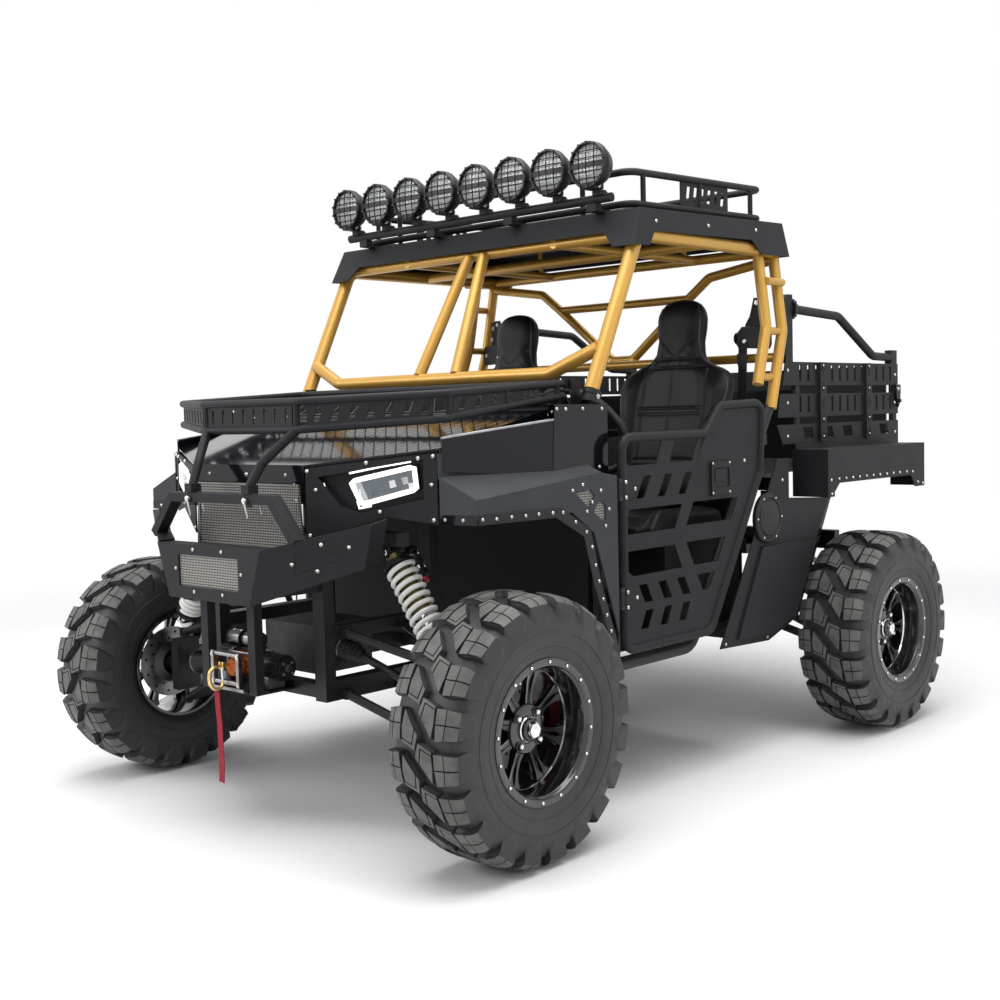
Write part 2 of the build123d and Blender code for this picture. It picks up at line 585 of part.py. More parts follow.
QUARTER_X = 778.0
QUARTER_OUTLINE = ((1140, 413), (1450, 400), (1652, 461), (1905, 887), (1600, 905),
                   (1600, 1050), (1524, 1050))
QUARTER_BOX = ((1240, 432), (1446, 424), (1628, 478), (1780, 735), (1560, 742), (1405, 742))
FUEL_CAP = (1475.0, 843.0)
with BuildPart() as quarter_panels:
    for side in SIDES:
        side_plate(QUARTER_OUTLINE, side * QUARTER_X, PLATE)
        side_plate(QUARTER_BOX, side * (QUARTER_X + 7.5), 10)
        pin(across(side, QUARTER_X, QUARTER_X + 6), *FUEL_CAP, 42)
        pin(across(side, QUARTER_X + 6, QUARTER_X + 12), *FUEL_CAP, 30)
        block(across(side, 690, QUARTER_X - 2), (1300, 1400), (420, 480))
        block(across(side, FRAME_RAIL_X[1] + 0.2, 690), (1300, 1400), (420, 459.8))
save(quarter_panels.part, "quarter_panels")

DASH_PROFILE = ((568.2, 1235), (640, 1246), (702, 1226), (714, 1150), (690, 1040), (568.2, 990))
with BuildPart() as dashboard:
    side_plate(DASH_PROFILE, 0, 1280)
    axle = Vector(0, cos(radians(STEERING_TILT)), sin(radians(STEERING_TILT)))
    tube([at(*STEERING_CENTRE) - axle * 262, at(*STEERING_CENTRE) - axle * 26], 18)
save(dashboard.part, "dashboard")

# ----------------------------------------------------------------------------- seats
# A seat back's sections, from the cushion up: (height, middle's back, width, depth).
SEAT_BACK = ((880, 1350, 440, 110), (1150, 1392, 470, 100), (1370, 1440, 540, 80),
             (1425, 1452, 320, 76), (1490, 1464, 232, 72), (1659, 1474, 256, 84))


def seat_section(height, back, width, depth):
    """A level section of the seat's back, with rounded corners."""
    with BuildSketch(Plane(origin=at(SEAT_X, back, height))) as section:
        RectangleRounded(width, depth, 28)
    return section.sketch


with BuildPart() as seat_left:
    block((SEAT_X - 235, SEAT_X + 225), (960, 1400), (SEAT_BOX_TOP + 0.2, 870))
    for inner in (SEAT_X - 235, SEAT_X + 155):
        side_plate([(975, 868), (1010, 902), (1330, 902), (1380, 868)], inner + 35, 70)
    for lower, upper in zip(SEAT_BACK, SEAT_BACK[1:]):
        loft([seat_section(*lower), seat_section(*upper)], ruled=True)
    block((SEAT_X - 150, SEAT_X + 150), (1310, 1390), (860, 885))
save(seat_left.part, "seat_left")
with BuildPart() as seat_right:
    mirror(seat_left.part, about=Plane.YZ)
save(seat_right.part, "seat_right")

# ------------------------------------------------------------------------- suspension
# The front arms' heights: (at the frame, at the knuckle).
FRONT_ARMS = ((600, 490), (415, 250))
with BuildPart() as front_arms:
    for side in SIDES:
        for z_in, z_out in FRONT_ARMS:
            with Locations(at(side * KINGPIN_X, 0, z_out)):
                Cylinder(18, 28)
            for back in (-115, 115):
                block(across(side, FRAME_RAIL_X[1] + 0.2, 305), (back - 16, back + 16),
                      (z_in - 14, z_in + 14))
                tube([at(side * 295, back, z_in), at(side * KINGPIN_X, 0, z_out)], 14)
            with Locations(at(side * KINGPIN_X, 0, z_out)):
                Cylinder(8.5, 60, mode=Mode.SUBTRACT)
        tube([at(side * 640, -30, 511), at(side * 640, 30, 511)], 12)
save(front_arms.part, "front_arms")

COILS = 8
COIL_RADII = (28.0, 45.0)
RESERVOIR_OFFSET = 72.0
RESERVOIR_SPAN = (0.72, 1.0)
# Each axle's shocks: (node, back, top's x and height, foot's x and height).
for name, back, x_top, z_top, x_low, z_low in (
    ("front_shocks", -45, 430, 846, 640, 548),
    ("rear_shocks", 2025, 430, 886, 640, 552),
):
    with BuildPart() as shocks:
        for side in SIDES:
            low = at(side * x_low, back, z_low)
            top = at(side * x_top, back, z_top)
            axis = Plane(origin=low, z_dir=top - low)
            length = (top - low).length
            first, last = 0.14 * length, 0.86 * length
            pitch = (last - first) / COILS
            outline = [(0, 0), (18, 0), (18, first)]
            for turn in range(COILS):
                outline.append((COIL_RADII[1], first + (turn + 0.5) * pitch))
                outline.append((COIL_RADII[0], first + (turn + 1) * pitch))
            outline += [(18, last + 4), (18, length), (0, length)]
            with BuildSketch(Plane(origin=low, x_dir=axis.x_dir, z_dir=-axis.y_dir)) as half_section:
                Polygon(*outline, align=None)
            revolve(half_section.sketch, axis=Axis(low, top - low))
            block(across(side, x_top - 14, x_top + 14), (back - 14, back + 14),
                  (z_top - 8, z_top + 13.8))
            # The reservoir lies behind the shock's upper end, on a short bridge.
            behind = Vector(0, RESERVOIR_OFFSET, 0)
            tube([low + (top - low) * share + behind for share in RESERVOIR_SPAN], 22)
            block(across(side, x_top + 14, x_top + 46), (back + 8, back + RESERVOIR_OFFSET),
                  (z_top - 36, z_top - 16))
    save(shocks.part, name)

with BuildPart() as front_drive:
    block((-130, 130), (-90, 130), (450.2, 600))
    for side in SIDES:
        tube([at(side * 110, 20, 528), at(side * 660, 0, 384)], 13)
save(front_drive.part, "front_drive")

with BuildPart() as rear_drive:
    block((-130, 130), (1945, 2160), (450.2, 620))
    for side in SIDES:
        tube([at(side * 110, WHEELBASE, 538), at(side * 705, WHEELBASE, 380)], 13)
        pin(across(side, 700, 740), WHEELBASE, TYRE_RADIUS, 60)
        pin(across(side, 720, 860), WHEELBASE, TYRE_RADIUS, 28)
save(rear_drive.part, "rear_drive")

with BuildPart() as rear_arms:
    for side in SIDES:
        for back in (1940, 2170):
            block(across(side, FRAME_RAIL_X[1] + 0.2, 305), (back - 18, back + 18), (415, 447))
            tube([at(side * 295, back, 430),
                  at(side * 700, WHEELBASE + (back - WHEELBASE) * 0.4, 300)], 16)
        block(across(side, 690, 720), (1990, 2110), (285, 314))
        tube([at(side * 640, 2000, 514), at(side * 640, 2050, 514)], 12)
        tube([at(side * 640, 2025, 514), at(side * 690, 2000, 310)], 11)
save(rear_arms.part, "rear_arms")

# --------------------------------------------------------- steered knuckles and wheels
DISC_X = 818.0
CALIPER_SPAN = (796.0, 832.0)
with BuildPart() as knuckle_left:
    block((705, 745), (-45, 45), (290, 471))
    post(KINGPIN_X, 0, (238, 502), 8)
    pin((745, 845), 0, TYRE_RADIUS, 28)
    block((712, 745), (30, 125), (356, 396))
    block((745, CALIPER_SPAN[0]), (95, 125), (356, 396))
save(knuckle_left.part, "knuckle_left")

with BuildPart() as caliper_left:
    block(CALIPER_SPAN, (80, 148), (336, 416))
    block((DISC_X - 9, DISC_X + 9), (60, 134), (300, 440), Mode.SUBTRACT)
    for z in (356, 396):
        pin((CALIPER_SPAN[1], CALIPER_SPAN[1] + 6), 110, z, 15)
save(caliper_left.part, "caliper_left")

for source, name in ((knuckle_left, "knuckle_right"), (caliper_left, "caliper_right")):
    with BuildPart() as mirrored:
        mirror(source.part, about=Plane.YZ)
    save(mirrored.part, name)

# Wheels are built once about the Z axis, the street side up, then set on each hub.
RIM_SPAN = (-120.0, 117.0)
RIM_BEAD = 178.0
RING_RADIUS = 203.0
SPOKES = 8
HUB_RADIUS = 29.0
# The dish from the hub's boss out to the barrel: (radius, distance out from the middle).
DISH_PROFILE = ((HUB_RADIUS, 10), (HUB_RADIUS, 50), (60, 50), (72, 38), (100, 32), (150, 34),
                (174, 44), (174, 26), (150, 16), (100, 12), (72, 10))
WINDOW_SPAN = (84.0, 158.0)
with BuildPart() as rim_form:
    with BuildSketch(Plane.XZ) as barrel:
        Polygon((RIM_BEAD + 8, RIM_SPAN[0]), (RIM_BEAD, RIM_SPAN[0] + 10), (RIM_BEAD, 100),
                (RING_RADIUS, 100), (RING_RADIUS, RIM_SPAN[1]), (RIM_BEAD, RIM_SPAN[1]),
                (RIM_BEAD - 6, 96), (RIM_BEAD - 8, RIM_SPAN[0]), align=None)
        Polygon(*DISH_PROFILE, align=None)
    revolve(barrel.sketch, axis=Axis.Z)
    with BuildSketch(Plane.XY) as windows:
        with PolarLocations(sum(WINDOW_SPAN) / 2, SPOKES):
            Trapezoid(76, WINDOW_SPAN[1] - WINDOW_SPAN[0], 74, rotation=90)
        fillet(windows.vertices(), 9)
        with PolarLocations(125, SPOKES, start_angle=180 / SPOKES):
            SlotOverall(60, 8)
    extrude(windows.sketch, amount=60, mode=Mode.SUBTRACT)
    with BuildSketch(Plane.XY.offset(-60)) as hub:
        Circle(46)
        Circle(HUB_RADIUS, mode=Mode.SUBTRACT)
    extrude(hub.sketch, amount=72)
    with BuildSketch(Plane.XY.offset(48)) as cap:
        Circle(HUB_RADIUS + 1)
    extrude(cap.sketch, amount=14)
    with BuildSketch(Plane.XY.offset(-45)) as disc:
        Circle(125)
        Circle(HUB_RADIUS, mode=Mode.SUBTRACT)
        for radius, start in ((84, 0), (106, 15)):
            with PolarLocations(radius, 12, start_angle=start):
                Circle(5, mode=Mode.SUBTRACT)
    extrude(disc.sketch, amount=6)

LUG_COUNT = 20
LUG_REACH = 42.0
LUG_PLANE = sqrt(TYRE_RADIUS**2 - LUG_REACH**2)
TREAD_BASE = 352.0
# One lug seen from outside: (round the tyre, outward along the axle).
LUG_OUTLINE = ((-38, 133), (14, 133), (24, 84), (42, 34), (30, -8), (-12, 6), (-16, 60), (-34, 92))
# The same lug seen along the tyre: (radius, outward along the axle).
LUG_SHOULDER = ((336, -12), (LUG_PLANE, -12), (LUG_PLANE, 100), (358, 127), (336, TYRE_HALF_WIDTH),
                (316, TYRE_HALF_WIDTH), (316, 118))
# The carcass's half outline: (radius, outward along the axle).
CARCASS = ((RIM_BEAD + FIT_GAP, -105), (206, -118), (250, -131.5), (310, -131.5),
           (TREAD_BASE, -110), (TREAD_BASE, 110), (310, 131.5), (250, 131.5), (206, 114),
           (RING_RADIUS + FIT_GAP, 99.7), (RIM_BEAD + FIT_GAP, 99.7))
with BuildPart() as lug:
    with BuildSketch(Plane(origin=(TREAD_BASE - 40, 0, 0), x_dir=(0, 1, 0), z_dir=(1, 0, 0))) as top:
        Polygon(*LUG_OUTLINE, align=None)
    extrude(top.sketch, amount=80)
    with BuildSketch(Plane.XZ.offset(-60)) as shoulder:
        Polygon(*LUG_SHOULDER, align=None)
    extrude(shoulder.sketch, amount=120, mode=Mode.INTERSECT)
with BuildPart() as tyre_form:
    with BuildSketch(Plane.XZ) as carcass:
        Polygon(*CARCASS, align=None)
    revolve(carcass.sketch, axis=Axis.Z)
    with PolarLocations(0, LUG_COUNT):
        add(lug.part)
    with PolarLocations(0, LUG_COUNT, start_angle=180 / LUG_COUNT):
        add(lug.part, rotation=(180, 0, 0))

for axle, track, back in (("front", FRONT_TRACK_HALF, 0.0), ("rear", REAR_TRACK_HALF, WHEELBASE)):
    hub = Plane(origin=at(track, back, TYRE_RADIUS), x_dir=(0, -1, 0), z_dir=(1, 0, 0))
    for kind, form in (("rim", rim_form), ("tyre", tyre_form)):
        with BuildPart() as left_wheel:
            add(form.part.moved(hub.location))
        save(left_wheel.part, f"{kind}_{axle}_left")
        with BuildPart() as right_wheel:
            mirror(left_wheel.part, about=Plane.YZ)
        save(right_wheel.part, f"{kind}_{axle}_right")

# -------------------------------------------------------------------- steering wheel
with BuildPart() as steering_wheel:
    turn = radians(STEERING_TILT)
    wheel_plane = Plane(origin=at(*STEERING_CENTRE), x_dir=(1, 0, 0), z_dir=(0, cos(turn), sin(turn)))
    with BuildSketch(Plane(origin=wheel_plane.origin, x_dir=(1, 0, 0),
                           z_dir=wheel_plane.y_dir)) as grip:
        with Locations((175, 0)):
            Circle(14)
    revolve(grip.sketch, axis=Axis(wheel_plane.origin, wheel_plane.z_dir))
    with BuildSketch(wheel_plane.offset(-20)) as spokes:
        Rectangle(344, 30)
        with Locations((0, -85)):
            Rectangle(30, 170)
        Circle(45)
    extrude(spokes.sketch, amount=16)
save(steering_wheel.part, "steering_wheel")

# ------------------------------------------------------------------------ front rack
RACK_REAR = 520.0
RACK_NOSE = (238.0, -218.0)
RACK_SIDE = (640.0, -29.0)
RACK_LOW_CLIMB = 0.112


def rack_top(x, back):
    """A point on the rack's top rail, which rises to the rear."""
    return at(x, back, 1289 + (back - RACK_NOSE[1]) * 0.0525)


def rack_low(x, back):
    """A point on the rack's lower rail, which rises more, clear of the hood."""
    return at(x, back, 1207 + (back - RACK_NOSE[1]) * RACK_LOW_CLIMB)


def rack_wall(start, end, slots, width, lean):
    """A slotted plate between both rails, from one (across, back) to the next."""
    def point(along, rise):
        x, back = (start[i] + (end[i] - start[i]) * along for i in (0, 1))
        return rack_low(x, back) * (1 - rise) + rack_top(x, back) * rise

    length = (point(1, 0) - point(0, 0)).length
    folded_plate([point(0, 0), point(1, 0), point(1, 1), point(0, 1)], SHEET)
    for slot in range(slots):
        low = (slot + 0.5) / slots - width / 2 / length
        high = low + lean / length * (1 if lean else 0)
        step = width / length
        for depth in (-2 * SHEET, 2 * SHEET):
            folded_plate([point(low, 0.24), point(low + step, 0.24),
                          point(high + step, 0.76), point(high, 0.76)], depth, Mode.SUBTRACT)


# Posts between the rails of one side: (across, back).
RACK_POSTS = ((225, -217), (640, 0), (640, 240), (640, 470))
with BuildPart() as rack:
    for rail in (rack_top, rack_low):
        tube([rail(-RACK_SIDE[0], RACK_REAR), rail(-RACK_SIDE[0], RACK_SIDE[1]),
              rail(-RACK_NOSE[0], RACK_NOSE[1]), rail(*RACK_NOSE), rail(*RACK_SIDE),
              rail(RACK_SIDE[0], RACK_REAR)], 12, bend=40, close=True)
    for x, back in RACK_POSTS:
        for side in SIDES:
            tube([rack_low(side * x, back), rack_top(side * x, back)], 10)
    rack_wall((-210, RACK_NOSE[1]), (210, RACK_NOSE[1]), 8, 11, 0)
    for side in SIDES:
        rack_wall((side * 262, -207), (side * 616, -40), 7, 20, 16)
        rack_wall((side * RACK_SIDE[0], 12), (side * RACK_SIDE[0], 340), 5, 22, 18)
        tube([rack_low(side * 225, -216), at(side * 160, -300, 1110), at(side * 144, -335, 1043)],
             14, bend=30)
        block(across(side, 126, 162), (-353, -317), (1024.3, 1050))
        block(across(side, 628, 640), (515, 560), (1310, 1346))
        pin(across(side, 620, 646), *RACK_PIVOT, 7.3, Mode.SUBTRACT)
    for back in (-60, 40, 230, 460):
        tube([rack_low(-RACK_SIDE[0], back), rack_low(RACK_SIDE[0], back)]
             if back > RACK_SIDE[1] else [rack_low(-560, back), rack_low(560, back)], 9)
save(rack.part, "rack")

MESH_PITCH = 52.0
MESH_HALF = 23.8
MESH_COUNT = (23, 8)
MESH_MIDDLE = 262.0
mesh_plane = Plane(origin=rack_low(0, MESH_MIDDLE) + Vector(0, 0, 9.6), x_dir=(1, 0, 0),
                   z_dir=(0, -RACK_LOW_CLIMB, 1))
with BuildPart() as rack_floor:
    with BuildSketch(mesh_plane) as floor_mesh:
        Rectangle(MESH_COUNT[0] * MESH_PITCH + 8, MESH_COUNT[1] * MESH_PITCH + 8)
        for columns, rows in (MESH_COUNT, [count - 1 for count in MESH_COUNT]):
            with GridLocations(MESH_PITCH, MESH_PITCH, columns, rows):
                Polygon((MESH_HALF, 0), (0, MESH_HALF), (-MESH_HALF, 0), (0, -MESH_HALF),
                        align=None, mode=Mode.SUBTRACT)
    extrude(floor_mesh.sketch, amount=3)
save(rack_floor.part, "rack_floor")

# ----------------------------------------------------------------------------- doors
DOOR_TUBE = 15.0
# The door's tube loop and its sheet, seen from the side: (back, height).
DOOR_LOOP = ((612, 1154), (1072, 1154), (1160, 1246), (1425, 1254), (1404, 1010), (1085, 486),
             (612, 486))
# The large cut-outs, upper row first.
DOOR_WINDOWS = (
    ((645, 1066), (790, 1066), (826, 1150), (618, 1150), (618, 1092)),
    ((861, 1066), (991, 1066), (1028, 1150), (896, 1150)),
    ((633, 850), (888, 850), (930, 928), (644, 928), (622, 894)),
    ((950, 855), (1219, 855), (1261, 930), (993, 930)),
    ((658, 716), (924, 718), (884, 797), (635, 797), (623, 785), (623, 743)),
    ((993, 719), (1135, 719), (1180, 799), (949, 799)),
    ((1043, 628), (1079, 630), (1116, 685), (1009, 685)),
)
# Rows of leaning slots: (low, high, width, lean, first front edge, pitch).
DOOR_SLOTS = ((960, 1031, 40, 42, 681, 114), (627, 686, 43, -32, 718, 104),
              (543, 601, 40, 28, 694, 103))
LATCH = ((1093, 1216), (943, 1058))
with BuildPart() as door_left:
    tube([at(DOOR_X, back, z) for back, z in DOOR_LOOP], DOOR_TUBE, bend=45, close=True)
    side_plate(DOOR_LOOP, DOOR_X, SHEET)
    for window in DOOR_WINDOWS:
        side_plate(window, DOOR_X, 3 * SHEET, Mode.SUBTRACT)
    for low, high, width, lean, first, pitch in DOOR_SLOTS:
        for step in range(3):
            side_plate(leaning_slot(first + step * pitch, width, low, high, lean), DOOR_X,
                       3 * SHEET, Mode.SUBTRACT)
    tube([at(DOOR_X, *DOOR_LOOP[1]), at(DOOR_X - 8, 1008, 1030)], 10)
    block((DOOR_X + 2, DOOR_X + 10), *LATCH)
    block((DOOR_X + 6, DOOR_X + 14), (1108, 1200), (970, 1036), Mode.SUBTRACT)
    block((DOOR_X + 5, DOOR_X + 11), (1112, 1180), (990, 1032))
    for height in DOOR_HINGE_HEIGHTS:
        side_plate([(596, height - 36), (640, height - 36), (690, height), (640, height + 36),
                    (596, height + 36)], DOOR_X + 5, 6)
        post(*DOOR_PIVOT, (height - 20, height + 20), 10)
        block((DOOR_X - 5, 786), (580, 602), (height - 20, height + 20))
        post(*DOOR_PIVOT, (height - 30, height + 30), 6 + FIT_GAP, Mode.SUBTRACT)
save(door_left.part, "door_left")
with BuildPart() as door_right:
    mirror(door_left.part, about=Plane.YZ)
save(door_right.part, "door_right")

# ------------------------------------------------------------------------- cargo bed
BED_FLOOR_TOP = BED_FLOOR_Z + 6
WALL_X = 697.5
with BuildPart() as bed_tub:
    block((-BED_HALF, BED_HALF), BED_SPAN, (BED_FLOOR_Z, BED_FLOOR_TOP))
    block((-BED_HALF + 6, BED_HALF - 6), (BED_SPAN[0], BED_SPAN[0] + 6), (BED_FLOOR_Z, 1300))
    for side in SIDES:
        block(across(side, 295, 335), (1800, 2620), (956, BED_FLOOR_Z))
        pin(across(side, 290, 340), *BED_PIVOT, 8 + FIT_GAP, Mode.SUBTRACT)
        block(across(side, BED_HALF - 5, BED_HALF), BED_SPAN, (BED_FLOOR_Z, 1095))
        for low in (284, 506):
            block(across(side, low, low + 10), (BED_SPAN[1] - 6, TAILGATE_PIVOT[0] + 8), (1038, 1056))
        pin(across(side, 288, 512), *TAILGATE_PIVOT, 4)
    with BuildSketch(Plane(origin=at(0, sum(BED_SPAN) / 2, BED_FLOOR_Z))) as tie_downs:
        with GridLocations(*TIE_DOWN_SPACING, 2, 2):
            Circle(TIE_DOWN_RADIUS)
    extrude(tie_downs.sketch, amount=20, mode=Mode.SUBTRACT)
save(bed_tub.part, "bed_tub")

# Side rows: (front at the bottom, front at the top, low, high).
BED_ROWS = ((1700, 1722, 1316, 1405), (1662, 1680, 1196, 1285), (1697, 1655, 1095.2, 1169))
SLOT_PITCH = 61.2
FIRST_SLOT = 1826.0
SLOT_STEPS = (0, 1, 2, 4, 5, 6, 7, 8, 10, 11, 12)
POST_FRONTS = (1959.0, 2331.0)
GRAB_TUBE = ((1770, 1606), (2146, 1589), (2436, 1436), (2590, 1432))
with BuildPart() as bed_rails:
    for side in SIDES:
        for front_low, front_high, low, high in BED_ROWS:
            side_plate([(front_low, low), (front_high, high), (BED_SPAN[1], high), (BED_SPAN[1], low)],
                       side * WALL_X, PLATE)
        for low, high in ((1333, 1393), (1214, 1276)):
            for step in SLOT_STEPS:
                front = FIRST_SLOT - 8 + step * SLOT_PITCH
                side_plate(leaning_slot(front, 16, low, high, 0), side * WALL_X, 3 * PLATE,
                           Mode.SUBTRACT)
        for step in range(5):
            side_plate(leaning_slot(1858 + step * 154, 68, 1114, 1156, -14), side * WALL_X,
                       3 * PLATE, Mode.SUBTRACT)
        for front in POST_FRONTS:
            block(across(side, BED_HALF, BED_HALF + 12), (front, front + 46), (1100, 1405))
        for front in (1800, 2595):
            block(across(side, 675, 695), (front, front + 30), (1095.2, 1405))
        side_plate([(1724, 1400), (1722, 1640), (1740, 1656), (1775, 1656), (1775, 1400)],
                   side * 685, 30)
        side_plate([(2572, 1400), (2572, 1462), (2622, 1462), (2622, 1400)], side * 685, 30)
        tube([at(side * 685, back, z) for back, z in GRAB_TUBE], 17, bend=80)
save(bed_rails.part, "bed_rails")

FENDER_SPAN = (1763.0, 2560.0)
FENDER_ARCH = ((1812, 860), (1812, 914), (1850, 946), (2440, 946), (2480, 897), (2480, 860))
with BuildPart() as rear_fenders:
    for side in SIDES:
        block(across(side, BED_HALF + 0.2, 850), FENDER_SPAN, (897, 1075))
        block(across(side, BED_HALF, 845), (FENDER_SPAN[0] + PLATE, FENDER_SPAN[1] - PLATE),
              (890, 1070), Mode.SUBTRACT)
        side_plate(FENDER_ARCH, side * 850, 30, Mode.SUBTRACT)
save(rear_fenders.part, "rear_fenders")

with BuildPart() as tailgate:
    block((-640, 640), (2636, 2646), (1064, 1400))
    for side in SIDES:
        block(across(side, 298, 502), (2636, 2646), (1048, 1066))
        pin(across(side, 298, 502), *TAILGATE_PIVOT, 8)
        pin(across(side, 280, 520), *TAILGATE_PIVOT, 4 + FIT_GAP, Mode.SUBTRACT)
        for x in (80, 360):
            block(across(side, x, x + 200), (2646, 2650), (1110, 1230))
    block((-60, 60), (2646, 2668), (1260, 1310))
    block((-44, 44), (2660, 2670), (1270, 1300), Mode.SUBTRACT)
save(tailgate.part, "tailgate")

with BuildPart() as rear_bumper:
    block((-480, 480), (2480, 2520), (620, 700))
    block((-474, 474), (2470, 2515), (625, 695), Mode.SUBTRACT)
    for side in SIDES:
        block(across(side, 240, 280), (FRAME_REAR + 0.2, 2520), (640, 680))
        block(across(side, 238, 282), (FRAME_REAR + 0.2, FRAME_REAR + 6), (630, 690))
    block((-36, 36), (2480, 2600), (576, 648))
    block((-32, 32), (2520, 2600), (580, 644))
    block((-25.5, 25.5), (2530, 2610), (586.5, 637.5), Mode.SUBTRACT)
    pin((-40, 40), 2575, 612, HITCH_PIN_RADIUS, Mode.SUBTRACT)
save(rear_bumper.part, "rear_bumper")
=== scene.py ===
"""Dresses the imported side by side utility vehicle: its materials, tyres, wheels, springs, lamps,
seats, fasteners, winch, pull strap, covers, belts and dashboard, with the camera and the studio.
Lengths are in metres, and the tables give millimetres: across, behind the front axle, and height."""
import json
import random
from math import cos, pi, radians, sin, sqrt, tau

import bmesh
import bpy
import numpy
from mathutils import Matrix, Vector
from mathutils.bvhtree import BVHTree

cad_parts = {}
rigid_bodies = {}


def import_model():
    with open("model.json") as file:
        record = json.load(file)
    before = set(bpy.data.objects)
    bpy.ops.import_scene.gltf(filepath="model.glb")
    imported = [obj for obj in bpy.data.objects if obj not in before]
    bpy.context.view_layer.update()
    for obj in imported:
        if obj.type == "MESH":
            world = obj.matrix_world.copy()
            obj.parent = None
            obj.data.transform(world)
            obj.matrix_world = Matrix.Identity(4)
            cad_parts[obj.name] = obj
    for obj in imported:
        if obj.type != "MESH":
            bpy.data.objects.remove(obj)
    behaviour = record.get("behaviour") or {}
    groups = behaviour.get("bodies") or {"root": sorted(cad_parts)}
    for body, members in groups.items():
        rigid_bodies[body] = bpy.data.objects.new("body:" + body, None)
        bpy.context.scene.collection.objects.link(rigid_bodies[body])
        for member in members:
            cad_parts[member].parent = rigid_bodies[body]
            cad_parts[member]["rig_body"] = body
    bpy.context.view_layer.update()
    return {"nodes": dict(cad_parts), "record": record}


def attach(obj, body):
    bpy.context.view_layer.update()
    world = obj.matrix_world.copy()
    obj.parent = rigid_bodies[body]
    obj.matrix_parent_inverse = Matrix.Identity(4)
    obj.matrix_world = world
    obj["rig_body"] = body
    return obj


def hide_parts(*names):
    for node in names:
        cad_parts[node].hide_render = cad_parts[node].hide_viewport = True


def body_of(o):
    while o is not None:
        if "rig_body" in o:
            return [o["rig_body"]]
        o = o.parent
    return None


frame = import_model()

FRONT_AXLE_Y = -1.138
SIDES = (1, -1)
ACROSS, REARWARD, UPWARD = Vector((1, 0, 0)), Vector((0, 1, 0)), Vector((0, 0, 1))


def at(x, back, z):
    """A point given in millimetres across, behind the front axle, and up."""
    return Vector((x / 1000, FRONT_AXLE_Y + back / 1000, z / 1000))


def around_x(turn):
    """The direction at a turn about the X axis, from rearward up."""
    return Vector((0, cos(turn), sin(turn)))


def angles(count, start=0.0):
    """Even angles round a circle, the first one a share of a step from zero."""
    return [tau * (step + start) / count for step in range(count)]


def circle(centre, first, second, radius, steps):
    """Points round a centre, in the plane of two directions square to each other."""
    return [centre + (first * cos(turn) + second * sin(turn)) * radius for turn in angles(steps)]


def metres(pairs):
    """Pairs of millimetres as metres."""
    return [(first / 1000, second / 1000) for first, second in pairs]


# ------------------------------------------------------------------------- materials
looks = {}


def new_node(nodes, kind, **values):
    """A new shader node with these values on its input sockets."""
    node = nodes.new("ShaderNode" + kind)
    for key, value in values.items():
        node.inputs[key.replace("_", " ")].default_value = value
    return node


def combined(tree, operation, first, second):
    """Two fields put together by one arithmetic step."""
    node = new_node(tree.nodes, "Math")
    node.operation = operation
    tree.links.new(first, node.inputs[0])
    tree.links.new(second, node.inputs[1])
    return node.outputs["Value"]


